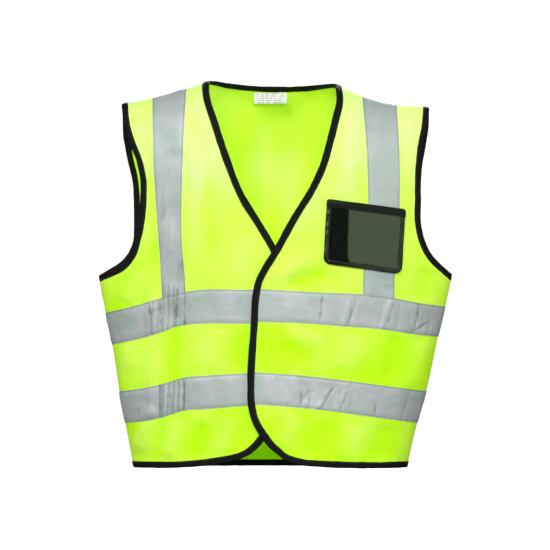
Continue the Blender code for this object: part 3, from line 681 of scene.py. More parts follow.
class Paint:
    """A Principled material and the nodes that feed it."""

    def __init__(self, name, **values):
        self.material = bpy.data.materials.new(name)
        self.material.use_nodes = True
        self.nodes = self.material.node_tree.nodes
        self.links = self.material.node_tree.links
        self.shader = self.nodes["Principled BSDF"]
        for socket, value in values.items():
            self.shader.inputs[socket.replace("_", " ")].default_value = value
        self.uv = self.nodes.new("ShaderNodeUVMap").outputs["UV"]
        self.place = self.nodes.new("ShaderNodeTexCoord").outputs["Object"]

    def node(self, kind, settings=None, **inputs):
        made = self.nodes.new("ShaderNode" + kind)
        for key, value in (settings or {}).items():
            setattr(made, key, value)
        for key, value in inputs.items():
            socket = made.inputs[int(key[1:]) if key[1:].isdigit() else key.replace("_", " ")]
            if isinstance(value, bpy.types.NodeSocket):
                self.links.new(value, socket)
            else:
                socket.default_value = value
        return made

    def mark(self, name):
        return self.node("Attribute", {"attribute_name": name}).outputs["Fac"]

    def height(self):
        return self.node("SeparateXYZ", Vector=self.place).outputs["Z"]

    def stretched(self, source, scale):
        return self.node("Mapping", Vector=source, Scale=scale).outputs["Vector"]

    def noise(self, source, scale, detail=2.0, roughness=0.5):
        made = self.node("TexNoise", Vector=source, Scale=scale, Detail=detail, Roughness=roughness)
        return made.outputs["Fac"]

    def ridges(self, source, scale, detail=3.0):
        kind = {"noise_type": "RIDGED_MULTIFRACTAL"}
        return self.node("TexNoise", kind, Vector=source, Scale=scale, Detail=detail).outputs["Fac"]

    def wave(self, source, scale, direction="X", distortion=0.0):
        made = self.node("TexWave", {"bands_direction": direction, "wave_profile": "SIN"}, Vector=source,
                         Scale=scale, Distortion=distortion)
        return made.outputs["Fac"]

    def ramp(self, source, low, high, out_low=0.0, out_high=1.0):
        made = self.node("MapRange", {"interpolation_type": "SMOOTHSTEP"}, Value=source, From_Min=low,
                         From_Max=high, To_Min=out_low, To_Max=out_high)
        return made.outputs["Result"]

    def math(self, kind, a, b):
        return self.node("Math", {"operation": kind}, i0=a, i1=b).outputs[0]

    def mix(self, factor, a, b):
        return self.node("Mix", {"data_type": "RGBA"}, Factor=factor, i6=a, i7=b).outputs[2]

    def feed(self, **sockets):
        for name, value in sockets.items():
            self.links.new(value, self.shader.inputs[name.replace("_", " ")])

    def bump(self, height, distance, strength=1.0, under=None):
        made = self.node("Bump", Height=height, Distance=distance, Strength=strength)
        if under is not None:
            self.links.new(under, made.inputs["Normal"])
        return made.outputs["Normal"]


def fabric_material(name, deep, middle, pale):
    """Fluorescent knit in random deep and pale patches, with painted shade in its hollows and a painted
    highlight where it stands out and on the shoulders, as if lit from above.
    """
    # The faint lime emission stands for the knit's fluorescence and also lifts its shade: partly painted
    # light.
    p = Paint(name, Roughness=0.7, Sheen_Weight=0.05, Sheen_Roughness=0.45,
              Sheen_Tint=(1.0, 1.0, 0.6, 1.0), Specular_IOR_Level=0.25, Emission_Strength=0.15,
              Emission_Color=(0.45, 1.0, 0.0, 1.0))
    clouds = p.noise(p.place, 9.0, 2.0)
    mottle = p.noise(p.place, 60.0, 3.0, 0.6)
    share = p.math("ADD", p.math("MULTIPLY", clouds, 0.36), p.math("MULTIPLY", mottle, 0.12))
    # Painted highlight and shade: paler where the cloth stands high on its soft folds, deeper in their
    # hollows.
    share = p.math("ADD", share, p.math("MULTIPLY", p.mark("fold"), 0.34))
    # Painted light from above: paler towards the top and on the shoulders.
    share = p.math("ADD", share, p.ramp(p.height(), -0.45, -0.02, 0.04, 0.42))
    color = p.mix(p.ramp(share, 0.36, 0.62), deep, middle)
    color = p.mix(p.ramp(share, 0.62, 0.95), color, pale)
    wales = p.wave(p.uv, 480.0, "X", 0.4)
    courses = p.wave(p.uv, 390.0, "Y", 0.6)
    knit = p.math("MULTIPLY", wales, courses)
    color = p.mix(p.ramp(knit, 0.0, 0.35, 0.12, 0.0), color, (0.40, 0.75, 0.01, 1))
    p.feed(Base_Color=color, Normal=p.bump(knit, 0.00012, 0.6))
    return p.material


def tape_material():
    """Retroreflective tape: silver beads on cloth, with painted shade in its creases and along its stitch
    lines, faintly green and lavender.
    """
    p = Paint("retroreflective_tape", Metallic=0.2, Specular_IOR_Level=0.4)
    tint = p.noise(p.place, 22.0, 2.0)
    color = p.mix(p.ramp(tint, 0.38, 0.62), (0.415, 0.505, 0.455, 1), (0.50, 0.525, 0.535, 1))
    wear = p.noise(p.stretched(p.uv, (1.0, 0.35, 1.0)), 210.0, 4.0, 0.65)
    color = p.mix(p.ramp(wear, 0.52, 0.78, 0.0, 0.16), color, (0.33, 0.37, 0.365, 1))
    # Painted shade: darker in the creases, crumples and pleats, along the stitch lines and at the cut edges.
    color = p.mix(p.ramp(p.mark("crease_shade"), 0.12, 0.95, 0.0, 0.75), color, (0.11, 0.135, 0.125, 1))
    beads = p.noise(p.uv, 2600.0, 1.0)
    crumple = p.ridges(p.stretched(p.uv, (1.0, 0.55, 1.0)), 75.0)
    normal = p.bump(crumple, 0.00030, 0.6, p.bump(beads, 0.00004, 0.4))
    p.feed(Base_Color=color, Roughness=p.ramp(wear, 0.3, 0.8, 0.48, 0.62), Normal=normal)
    return p.material


def binding_material():
    """Black folded polyester tape, ribbed across, with grey flecks where threads catch the light."""
    p = Paint("black_binding_cloth", Specular_IOR_Level=0.12)
    ribs = p.wave(p.uv, 330.0, "X", 1.0)
    flecks = p.noise(p.stretched(p.uv, (1.0, 0.5, 1.0)), 900.0, 2.0, 0.7)
    color = p.mix(p.ramp(flecks, 0.55, 0.75, 0.0, 0.5), (0.0035, 0.004, 0.0035, 1), (0.085, 0.09, 0.08, 1))
    color = p.mix(p.ramp(ribs, 0.4, 1.0, 0.0, 0.06), color, (0.05, 0.055, 0.05, 1))
    height = p.math("ADD", p.math("MULTIPLY", ribs, 0.6), p.math("MULTIPLY", flecks, 0.5))
    p.feed(Base_Color=color, Roughness=p.ramp(flecks, 0.3, 0.7, 0.62, 0.85),
           Normal=p.bump(height, 0.00025, 0.7))
    return p.material


def backing_material():
    """Black coated cloth behind the card window, with faint grey blotches where the film has clung to it."""
    p = Paint("pocket_backing_cloth", Specular_IOR_Level=0.08)
    grain = p.noise(p.uv, 1500.0, 2.0)
    blotches = p.noise(p.uv, 75.0, 4.0, 0.6)
    color = p.mix(p.ramp(grain, 0.4, 0.7), (0.002, 0.003, 0.002, 1), (0.006, 0.007, 0.006, 1))
    color = p.mix(p.ramp(blotches, 0.42, 0.72), color, (0.012, 0.013, 0.012, 1))
    p.feed(Base_Color=color, Roughness=p.ramp(grain, 0.3, 0.7, 0.7, 0.85), Normal=p.bump(grain, 0.0001, 0.5))
    return p.material


def window_material():
    """Soft clear film, wavy from handling, with a few dull smears."""
    p = Paint("clear_card_window", Transmission_Weight=1.0, IOR=1.5, Base_Color=(0.80, 0.90, 0.78, 1),
              Specular_Tint=(0.80, 1.0, 0.62, 1))
    smears = p.noise(p.stretched(p.uv, (0.5, 1.6, 1.0)), 60.0, 4.0, 0.6)
    waves = p.noise(p.stretched(p.uv, (1.0, 0.6, 1.0)), 24.0, 1.0)
    p.feed(Roughness=p.ramp(smears, 0.5, 0.85, 0.02, 0.10), Normal=p.bump(waves, 0.0003, 0.3))
    return p.material


def vinyl_material(name, shine, dull):
    """Black vinyl-coated strip, its gloss dulled by fine scuffs."""
    p = Paint(name, Specular_IOR_Level=shine, Specular_Tint=(0.80, 1.0, 0.62, 1))
    scuffs = p.noise(p.stretched(p.uv, (0.6, 1.4, 1.0)), 420.0, 3.0, 0.6)
    ribs = p.wave(p.uv, 330.0, "X", 1.0)
    color = p.mix(p.ramp(scuffs, 0.5, 0.75), (0.003, 0.0035, 0.003, 1), (0.014, 0.016, 0.013, 1))
    p.feed(Base_Color=color, Roughness=p.ramp(scuffs, 0.4, 0.8, dull, dull + 0.15),
           Normal=p.bump(ribs, 0.00005, 0.3))
    return p.material


def label_material():
    """White woven label, with generic grey bars in place of print."""
    p = Paint("woven_label", Roughness=0.7, Specular_IOR_Level=0.3, Sheen_Weight=0.15)
    across = p.wave(p.uv, 620.0, "Y", 0.2)
    along = p.wave(p.uv, 620.0, "X", 0.2)
    weave = p.math("MULTIPLY", across, along)
    bars = p.ramp(p.wave(p.uv, 90.0, "Y"), 0.62, 0.80)
    words = p.ramp(p.noise(p.stretched(p.uv, (260.0, 90.0, 1.0)), 1.0, 0.0), 0.44, 0.50)
    place = p.node("SeparateXYZ", Vector=p.uv).outputs["X"]
    printed = p.math("MULTIPLY", p.ramp(place, 0.004, 0.0045), p.ramp(place, 0.047, 0.0465))
    ink = p.math("MULTIPLY", p.math("MULTIPLY", bars, words), printed)
    color = p.mix(p.math("MULTIPLY", ink, 0.8), (0.80, 0.80, 0.80, 1), (0.25, 0.25, 0.27, 1))
    p.feed(Base_Color=color, Normal=p.bump(weave, 0.00008, 0.6))
    return p.material


def fastener_material():
    """Black hook-and-loop nylon."""
    p = Paint("hook_and_loop_nylon", Specular_IOR_Level=0.4, Sheen_Weight=0.3)
    fuzz = p.noise(p.uv, 2200.0, 3.0, 0.7)
    color = p.mix(p.ramp(fuzz, 0.45, 0.75), (0.010, 0.010, 0.011, 1), (0.07, 0.07, 0.075, 1))
    p.feed(Base_Color=color, Roughness=p.ramp(fuzz, 0.3, 0.7, 0.7, 0.92), Normal=p.bump(fuzz, 0.0003, 0.8))
    return p.material


def thread_material(name, dark, light):
    """Twisted sewing thread."""
    p = Paint(name, Roughness=0.55, Sheen_Weight=0.2)
    ply = p.wave(p.place, 900.0, "DIAGONAL", 0.5)
    p.feed(Base_Color=p.mix(ply, dark, light), Normal=p.bump(ply, 0.00006, 0.6))
    return p.material


MATERIALS = {
    "front cloth": fabric_material("fluorescent_knit", (0.52, 0.98, 0.0, 1), (0.68, 0.99, 0.10, 1),
                                   (0.77, 0.98, 0.36, 1)),
    # The back's cloth is the front's recoloured yellower: painted light that offsets the greener shade inside
    # the vest.
    "back cloth": fabric_material("fluorescent_knit_back_painted_light", (0.66, 0.97, 0.0, 1), (0.76, 0.98, 0.05, 1),
                                  (0.80, 0.98, 0.20, 1)),
    "tape": tape_material(),
    "binding": binding_material(),
    "backing": backing_material(),
    "window": window_material(),
    "edge vinyl": vinyl_material("pocket_edge_vinyl", 0.42, 0.13),
    "mouth vinyl": vinyl_material("pocket_mouth_vinyl", 0.17, 0.30),
    "label": label_material(),
    "fastener": fastener_material(),
    "grey thread": thread_material("grey_thread", (0.035, 0.04, 0.04, 1), (0.11, 0.12, 0.12, 1)),
    "black thread": thread_material("black_thread", (0.012, 0.012, 0.013, 1), (0.07, 0.07, 0.075, 1)),
    "pale thread": thread_material("pale_thread", (0.16, 0.17, 0.16, 1), (0.36, 0.37, 0.35, 1)),
}


# ---------------------------------------------------------------- how pieces follow the frame

def follow(piece, side=None, nodes=(), body="vest_body"):
    """Ties a piece to a body, or for a front's piece bakes its transform where it lies, and hides its CAD
    nodes.
    """
    if side is None:
        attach(piece, body)
    else:
        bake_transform(piece)
    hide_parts(*nodes)
    return piece


# ---------------------------------------------------------------- cloth panels

TAPE_MARGIN = 0.004
UNDER_BINDING = 0.0045
UV_MIDDLES = {"left": 0.12, "right": -0.12, "back": 0.0}


def brace_limits(panel, side):
    """The two edges of a brace on a panel, as functions of height."""
    if panel == "back":
        return tuple(lambda z, x=x: np.full_like(z, x) for x in BACK_BRACES[side])
    return BRACES[side]


def under_tape(x, z, panel):
    """1 where a tape covers the cloth, away from its edges."""
    lines = LINES[panel]
    covered = [inside(z, lines[name](x), lines[name + " top"](x), TAPE_MARGIN) for name in ("lower", "upper")]
    for side in ("left", "right") if panel == "back" else (panel,):
        near, far = brace_limits(panel, side)
        low, high = np.minimum(near(z), far(z)), np.maximum(near(z), far(z))
        above = smoothstep((z - lines["upper top"](x) + 2 * TAPE_MARGIN) / TAPE_MARGIN)
        covered.append(inside(x, low, high, TAPE_MARGIN) * above)
    return np.max(covered, axis=0)


def cloth_uvs(xs, zs, points, panel):
    """Distances across and up the cloth, in metres, that don't depend on how the rows are cut."""
    middle = UV_MIDDLES[panel]
    across = cumulative(points, 1)
    orders = np.argsort(xs, 1)
    start = np.array([np.interp(middle, x[order], a[order]) for x, a, order in zip(xs, across, orders)])
    angle = np.arccos(np.clip(1 - (SHOULDER(xs) - zs) / CROWN_DROP, 0, 1))
    crown = SHOULDER(xs) - CROWN_DROP + (math.pi / 2 - angle) * 0.5 * (CROWN_DROP + FRONT_DEPTH)
    up = np.where(zs > SHOULDER(xs) - CROWN_DROP, crown, zs)
    return np.stack([across - start[:, None], up], -1)


def make_panel(panel, places):
    """A panel's cloth, sunk a little where tapes lie on it but not inside the edge binding."""
    xs, zs = places
    sunk = under_tape(xs, zs, panel)
    if panel != "back":
        sunk = sunk * smoothstep((np.abs(xs - xs[:, :1]) - UNDER_BINDING) / 0.003)
    points, normals = on_cloth(xs, zs, panel, -SUNK_UNDER_TAPE * sunk)
    name = "back_cloth" if panel == "back" else f"{panel}_front_cloth"
    material = MATERIALS["back cloth" if panel == "back" else "front cloth"]
    piece = sheet_piece(name, points, normals, material, CLOTH, shading_marks(xs, zs, panel),
                        cloth_uvs(xs, zs, points, panel))
    if panel == "back":
        return follow(piece, None, ["back_panel"])
    return follow(piece, panel, [f"{panel}_front_panel", f"{panel}_front_flap"])


# ---------------------------------------------------------------- reflective tapes

TAPE_ROWS = np.array([0.0, 0.0009, 0.0018, 0.0029])
TAPE_PITCH = 0.0022
STITCH_DIP = 0.00022
TAPE_CRUMPLE, TAPE_STRETCH = 0.00022, 0.00030
BRACE_TUCK = 0.006
CROWN_LENGTH = 0.155


def seam_shade(from_edge):
    """How much a tape is darkened: painted shade in the dips along its stitch lines, and darker along its cut
    edges.
    """
    stitched = 0.55 * np.exp(-((from_edge - STITCH_INSET) / 0.0008) ** 2)
    return stitched + 0.4 * np.exp(-(from_edge / 0.0006) ** 2)


def across_tape(width):
    """Shares of a tape's width, closer together along its two stitched edges."""
    edge = TAPE_ROWS / width
    middle = np.linspace(edge[-1], 1 - edge[-1], max(int((width - 2 * TAPE_ROWS[-1]) / TAPE_PITCH), 2) + 1)
    return np.concatenate([edge[:-1], middle, 1 - edge[-2::-1]])


def tape_lift(from_edge, x, z, edge_lift, middle_lift):
    """A tape puffs up between its stitch lines, dips along them, and crumples a little."""
    puff = mix(edge_lift, middle_lift, smoothstep((from_edge - STITCH_INSET) / 0.005))
    dip = STITCH_DIP * np.exp(-((from_edge - STITCH_INSET) / 0.0009) ** 2)
    free = smoothstep((from_edge - STITCH_INSET) / 0.006)
    crumple = TAPE_CRUMPLE * CRUMPLE(x, z) + TAPE_STRETCH * STRETCHED(x, z * 0.5)
    return puff - dip + free * crumple


def make_band(panel, band):
    low, high = LINES[panel][band], LINES[panel][band + " top"]
    width = float(high(0.1) - low(0.1))
    shares = across_tape(width)
    xs, zs = places_on([lambda x, t=t: mix(low(x), high(x), t) for t in shares], panel, BAND_COLUMNS[panel])
    from_edge = (np.minimum(shares, 1 - shares) * width)[:, None]
    lift = tape_lift(from_edge, xs, zs, BAND_EDGE_LIFT, BAND_LIFT)
    if panel != "back":
        lift = mix(TUCKED_LIFT, lift, smoothstep((np.abs(xs - xs[:, :1]) - 0.003) / 0.006))
    points, normals = on_cloth(xs, zs, panel, lift)
    marks = shading_marks(xs, zs, panel)
    # Painted shade along the stitch lines and cut edges, on top of the creases' painted shade.
    marks["crease_shade"] = np.maximum(marks["crease_shade"], seam_shade(from_edge))
    piece = sheet_piece(f"{panel}_{band}_tape", points, normals, MATERIALS["tape"], TAPE, marks)
    moving = panel if panel != "back" else None
    nodes = [f"{panel}_{band}_band", f"{panel}_{band}_band_flap"]
    follow(piece, moving, nodes if moving else nodes[:1])
    seams_of = []
    for line, step in ((low, STITCH_INSET), (high, -STITCH_INSET)):
        x = along_row(line, panel, BAND_COLUMNS[panel])[3:-1]
        seams_of.append(on_cloth(x, line(x) + step, panel, BAND_EDGE_LIFT + THREAD_LIFT))
    sewn = stitches(f"{panel}_{band}_tape_stitches", seams_of, MATERIALS["grey thread"])
    follow(sewn, moving)
    return [piece, sewn]


def brace_rows(side):
    """(row, panel) for each row of a brace, from the front's upper band over the shoulder to the back's."""
    rows = []
    for panel in (side, "back"):
        low, high = LINES[panel]["upper top"], crown_line(CROWN_BASE)
        tucked = lambda x, low=low: low(x) - BRACE_TUCK
        middle = BRACE_MIDDLE[side]
        count = round(float(high(middle) - tucked(middle)) / BRACE_PITCH)
        run = [lambda x, t=t, a=tucked, b=high: mix(a(x), b(x), t) for t in np.linspace(0, 1, count)[:-1]]
        run += [crown_line(angle) for angle in np.linspace(CROWN_BASE, 0, round(CROWN_LENGTH / BRACE_PITCH))]
        rows += [(row, panel) for row in run] if panel == side else [(row, panel) for row in run[-2::-1]]
    return rows


def brace_line(side, share, rows):
    """x along a brace, row by row, at a share of its width from the neck side."""
    xs = []
    for row, panel in rows:
        near, far = brace_limits(panel, side)
        xs.append(meeting(row, lambda z: mix(near(z), far(z), share), BRACE_MIDDLE[side]))
    return np.array(xs)


def on_both(xs, rows, lift):
    """Points, normals and marks on the front for a brace's first rows, and on the back for the rest."""
    zs = np.array([row(x) for (row, _), x in zip(rows, xs)])
    points, normals = np.zeros(xs.shape + (3,)), np.zeros(xs.shape + (3,))
    marks = {"fold": np.zeros(xs.shape), "crease_shade": np.zeros(xs.shape)}
    for panel in sorted({panel for _, panel in rows}):
        own = np.array([name == panel for _, name in rows])
        points[own], normals[own] = on_cloth(xs[own], zs[own], panel, lift[own])
        for key, values in shading_marks(xs[own], zs[own], panel).items():
            marks[key][own] = values
    return points, normals, marks


def make_brace(side):
    rows = brace_rows(side)
    near, far = (brace_line(side, share, rows) for share in (0.0, 1.0))
    shares = across_tape(BRACE_WIDTH)
    xs = near[:, None] + (far - near)[:, None] * shares
    zs = np.array([row(x) for (row, _), x in zip(rows, xs)])
    from_edge = np.broadcast_to(np.minimum(shares, 1 - shares) * BRACE_WIDTH, xs.shape)
    lift = tape_lift(from_edge, xs, zs, BRACE_LIFT, BRACE_LIFT + 0.0002)
    ends = np.minimum(np.arange(len(rows)), np.arange(len(rows))[::-1])[:, None] * BRACE_PITCH
    lift = mix(TUCKED_LIFT, lift, smoothstep((ends - BRACE_TUCK) / 0.005))
    points, normals, marks = on_both(xs, rows, lift)
    # Painted shade along the stitch lines and cut edges, on top of the creases' painted shade.
    marks["crease_shade"] = np.maximum(marks["crease_shade"], seam_shade(from_edge))
    piece = sheet_piece(f"{side}_brace_tape", points, normals, MATERIALS["tape"], TAPE, marks)
    follow(piece, None, [f"{side}_brace_front", f"{side}_brace_back"])
    lines = []
    for inset in (STITCH_INSET / BRACE_WIDTH, 1 - STITCH_INSET / BRACE_WIDTH):
        x = mix(near, far, inset)
        points, normals, _ = on_both(x, rows, np.full(len(x), BRACE_LIFT + THREAD_LIFT))
        lines.append((points[3:-3], normals[3:-3]))
    sewn = stitches(f"{side}_brace_stitches", lines, MATERIALS["grey thread"])
    return [piece, follow(sewn)]


# ---------------------------------------------------------------- bindings

def edge_path(side):
    """The middle of the binding from a side seam along the hem, then up the front edge to the shoulder."""
    hem = LINES[side]["hem"]
    low = EDGE_SPAN[side][0]
    top = float(SHOULDER(EDGES[side](EDGE_SPAN[side][1])))
    corner, seam = float(EDGES[side](low)), outer_x(hem, side, FRONT)
    hem_x = turned(corner, seam, 200)[:0:-1]
    up = low + (top - low) * np.sin(math.pi / 2 * np.linspace(0, 1, 1500))
    return on_cloth(np.concatenate([hem_x, EDGES[side](up)]), np.concatenate([hem(hem_x), up]), side)


def neck_path():
    """The back neckline, from the wearer's left shoulder to the right one."""
    right, left = NECK_CORNERS
    turn = np.linspace(0, math.pi, 600)
    x = (left + right) / 2 + (left - right) / 2 * np.cos(turn)
    return on_cloth(x, crown_line(NECK_ANGLE * np.sin(turn))(x), "back")


def armhole_path(side):
    """Round an armhole: up the front from the underarm, over the shoulder and down the back."""
    low, high = ARMHOLE_SPAN[side]
    halves = []
    for face, panel in ((FRONT, side), (BACK, "back")):
        edge = ARMHOLES[side, face]
        top = float(SHOULDER(edge(high)))
        z = low + (top - low) * (1 - np.cos(math.pi * np.linspace(0, 1, 700))) / 2
        halves.append(on_cloth(edge(z), z, panel))
    (front, front_normals), (back, back_normals) = halves
    return np.concatenate([front, back[-2:0:-1]]), np.concatenate([front_normals, back_normals[-2:0:-1]])


def binding_seam(path, normals, width, outside, closed=False):
    """The line of stitches along a binding's inner edge."""
    _, sideways, up = frames(path, normals, closed)
    return path - sideways * (outside * 0.66 * width / 2)[:, None] + up * (BINDING_HALF * 0.98), up


def make_edge_bindings():
    """One binding round both fronts and the back neck, cut at the shoulder seams."""
    (left, left_n), (neck, neck_n), (right, right_n) = edge_path("left"), neck_path(), edge_path("right")
    path = np.concatenate([left, neck[1:-1], right[::-1]])
    cuts = np.cumsum([distances(left)[-1], distances(neck)[-1]])
    path, normals, at = resampled(path, np.concatenate([left_n, neck_n[1:-1], right_n[::-1]]), BINDING_PITCH)
    width = mix(HEM_WIDTH, EDGE_WIDTH, smoothstep((path[:, 2] + DROP - 0.012) / 0.04))
    rings = rolled(path, normals, at, width, BINDING_HALF, 31, -1)
    seam, seam_normals = binding_seam(path, normals, width, -1)
    places = [0, *np.searchsorted(at, cuts), len(at) - 1]
    made = {}
    jobs = [
        ("left_edge_roll", "left", ["left_edge_binding", "left_neck_binding", "left_hem_binding"]),
        ("neck_roll", None, ["back_neck_binding"]),
        ("right_edge_roll", "right", ["right_edge_binding", "right_neck_binding", "right_hem_binding"]),
    ]
    for (name, side, nodes), first, last in zip(jobs, places, places[1:]):
        own = slice(first, last + 1)
        piece = roll_piece(name, rings[own], at[own], MATERIALS["binding"], -1)
        sewn = stitches(name + "_stitches", [(seam[own], seam_normals[own])], MATERIALS["black thread"])
        follow(piece, side, nodes)
        follow(sewn, side)
        made[name] = [piece, sewn]
    return made


def make_binding(name, path, normals, width, seed, outside, closed, nodes):
    path, normals, at = resampled(path, normals, BINDING_PITCH, closed)
    width = np.full(len(at), width)
    rings = rolled(path, normals, at, width, BINDING_HALF, seed, outside, closed)
    piece = roll_piece(name, rings, at, MATERIALS["binding"], outside, closed)
    sewn = stitches(name + "_stitches", [binding_seam(path, normals, width, outside, closed)],
                    MATERIALS["black thread"])
    follow(piece, None, nodes)
    return [piece, follow(sewn)]


def make_armhole(side):
    path, normals = armhole_path(side)
    nodes = [f"{side}_armhole_front_binding", f"{side}_armhole_back_binding"]
    outside, seed = (1, 51) if side == "left" else (-1, 61)
    return make_binding(f"{side}_armhole_roll", path, normals, HEM_WIDTH, seed, outside, True, nodes)


def make_back_hem():
    hem = LINES["back"]["hem"]
    x = along_row(hem, "back", HEM_COLUMNS)[::-1]
    path, normals = on_cloth(x, hem(x), "back")
    return make_binding("back_hem_roll", path, normals, HEM_WIDTH, 41, 1, False, ["back_hem_binding"])


# ---------------------------------------------------------------- card pocket

POCKET_LOW = ((0.0725, 0.315), (0.193, 0.299))
POCKET_HIGH = ((0.078, 0.4135), (0.199, 0.398))
POCKET_WIDTH = 0.121
POCKET_HEIGHT = 0.099
POCKET_CORNER = 0.010
POCKET_STRIP = 0.0078
POCKET_MOUTH = 0.0115
MOUTH_CORNER = 0.0045
MOUTH_LIFT = 0.0034
MOUTH_THICKNESS = 0.0011
FRAME_HALF = 0.0012
BACKING_INSET = 0.002
WINDOW_INSET = 0.003
SEWN_INSET = 0.0058
ZIGZAG_X, ZIGZAG_SWING = 0.0036, 0.0013
ZIGZAG_COUNT = 36
BACKING_LIFT = 0.0015
WINDOW_LIFT = 0.0027
FRAME_LIFT = 0.0024


def on_pocket(across, up, lift):
    """Points over the left chest for places measured from the pocket's lower corner nearer the middle."""
    u, v = across / POCKET_WIDTH, up / POCKET_HEIGHT
    x, z = (
        mix(mix(POCKET_LOW[0][k], POCKET_LOW[1][k], u), mix(POCKET_HIGH[0][k], POCKET_HIGH[1][k], u), v)
        for k in (0, 1)
    )
    return on_cloth(x, z, "left", lift)


def pocket_outline(inset):
    """From under one end of the pocket's mouth, down and round both lower corners, and up again."""
    radius = POCKET_CORNER - inset
    left, right, low = inset, POCKET_WIDTH - inset, inset
    turn = np.linspace(0, math.pi / 2, 14)
    first = np.stack([left + radius * (1 - np.cos(turn)), low + radius * (1 - np.sin(turn))], 1)
    second = np.stack([right - radius * (1 - np.sin(turn)), low + radius * (1 - np.cos(turn))], 1)
    top = POCKET_HEIGHT - MOUTH_CORNER
    return np.concatenate([[(left, top)], first, second, [(right, top)]])


def along_outline(outline, pitch=0.002):
    length = distances(outline)
    at = np.linspace(0, length[-1], int(length[-1] / pitch))
    return np.stack([np.interp(at, length, outline[:, k]) for k in (0, 1)], 1)


def pocket_grid(left, right, low, high, columns, rows, reach=POCKET_CORNER * 0.8, upper=False):
    """Places on the pocket inside its outline: the lower or the upper corners are rounded off."""
    u, v = np.meshgrid(np.linspace(left, right, columns), np.linspace(low, high, rows))
    drop = np.clip(1 - (high - v if upper else v - low) / reach, 0, 1)
    inset = reach * (1 - np.sqrt(1 - drop ** 2))
    middle = (left + right) / 2
    half = (right - left) / 2
    return middle + (u - middle) * (half - inset) / half, v


def make_pocket():
    u, v = pocket_grid(BACKING_INSET, POCKET_WIDTH - BACKING_INSET, BACKING_INSET,
                       POCKET_HEIGHT - MOUTH_CORNER, 50, 42)
    points, normals = on_pocket(u, v, BACKING_LIFT)
    backing = sheet_piece("pocket_backing_cloth", points, normals, MATERIALS["backing"], 0.0005)
    follow(backing, None, ["pocket_backing"])
    u, v = pocket_grid(WINDOW_INSET, POCKET_WIDTH - WINDOW_INSET, WINDOW_INSET,
                       POCKET_HEIGHT - WINDOW_INSET - 0.001, 80, 66)
    rise = inside(u, 0, POCKET_WIDTH, 0.02) * inside(v, 0, POCKET_HEIGHT, 0.02)
    waves = 0.00035 * BROAD(u * 1.6 + 0.3, v * 0.5) + 0.00006 * MIDDLE(u + 0.2, v * 0.8)
    points, normals = on_pocket(u, v, WINDOW_LIFT + rise * (waves + 0.0003))
    window = sheet_piece("pocket_window_film", points, normals, MATERIALS["window"], 0.0003)
    follow(window, None, ["pocket_window"])
    return [backing, window] + make_pocket_frame()


def make_pocket_frame():
    outline = along_outline(pocket_outline(POCKET_STRIP / 2))
    path, normals = on_pocket(outline[:, 0], outline[:, 1], FRAME_LIFT)
    path, normals, at = resampled(path, normals, 0.002)
    width = np.full(len(at), POCKET_STRIP)
    rings = rolled(path, normals, at, width, FRAME_HALF, 71, -1)
    frame_piece = roll_piece("pocket_frame_strip", rings, at, MATERIALS["edge vinyl"], -1)
    follow(frame_piece, None, ["pocket_edge_binding"])
    u, v = pocket_grid(0, POCKET_WIDTH, POCKET_HEIGHT - POCKET_MOUTH, POCKET_HEIGHT + 0.001, 60, 24,
                       MOUTH_CORNER, True)
    bulge = 0.0004 * np.sin(math.pi * (v - v.min()) / np.ptp(v))
    points, normals = on_pocket(u, v, MOUTH_LIFT + bulge)
    mouth = sheet_piece("pocket_mouth_strip", points, normals, MATERIALS["mouth vinyl"], MOUTH_THICKNESS)
    follow(mouth, None, ["pocket_mouth_band"])
    return [frame_piece, mouth] + make_pocket_stitches()


def make_pocket_stitches():
    outline = along_outline(pocket_outline(SEWN_INSET))
    lines = [on_pocket(outline[:, 0], outline[:, 1], FRAME_LIFT + 0.0011)]
    u = np.linspace(0.004, POCKET_WIDTH - 0.004, 60)
    lines.append(on_pocket(u, np.full_like(u, POCKET_HEIGHT - POCKET_MOUTH + 0.0018), 0.0041))
    sewn = stitches("pocket_stitches", lines, MATERIALS["black thread"])
    v = np.linspace(0.012, POCKET_HEIGHT - 0.016, ZIGZAG_COUNT)
    u = ZIGZAG_X + ZIGZAG_SWING * (-1) ** np.arange(ZIGZAG_COUNT)
    zigzag = on_pocket(u, v, FRAME_LIFT + FRAME_HALF)
    tacked = stitches("pocket_zigzag", [zigzag], MATERIALS["pale thread"], radius=0.00018)
    return [follow(sewn), follow(tacked)]


# ---------------------------------------------------------------- fasteners and label

CLOSURE_HEIGHTS = {"upper": 0.250, "lower": 0.123}
CLOSURE_X = -0.012
CLOSURE_WIDTH = 0.022
CLOSURE_HEIGHT = 0.040
PATCH = 0.0007
PATCH_LIFTS = {"hook": -0.0019, "loop": 0.0020}
ROUGHNESS = {"hook": 0.0, "loop": 0.0004}
BRISTLES = {"hook": 0.0010, "loop": 0.0006}
BRISTLE_LEAN = 0.0004
BRISTLE_RADIUS = 0.00022


def closure_places(middle, pitch):
    u = np.linspace(-0.5, 0.5, int(CLOSURE_WIDTH / pitch)) * CLOSURE_WIDTH
    v = np.linspace(-0.5, 0.5, int(CLOSURE_HEIGHT / pitch)) * CLOSURE_HEIGHT
    return np.meshgrid(CLOSURE_X + u, middle + v)


def bristles(points, normals, height, lean):
    """Short bent hooks that stand on a patch."""
    aside = unit(np.cross(normals, [0.0, 0.0, 1.0]))
    upward = np.cross(aside, normals)
    verts = []
    for share, bend in ((0.0, 0.0), (0.65, 0.0), (1.0, lean)):
        middle = points + normals * height * share + upward * bend
        for turn in (0, 2 * math.pi / 3, 4 * math.pi / 3):
            outwards = aside * math.cos(turn) + upward * math.sin(turn)
            verts.append(middle + BRISTLE_RADIUS * (1 - 0.5 * share) * outwards)
    shape = [(r * 3 + k, r * 3 + (k + 1) % 3, (r + 1) * 3 + (k + 1) % 3, (r + 1) * 3 + k)
             for r in range(2) for k in range(3)] + [(6, 7, 8), (2, 1, 0)]
    faces = [tuple(n * 9 + i for i in face) for n in range(len(points)) for face in shape]
    return np.stack(verts, 1).reshape(-1, 3), faces


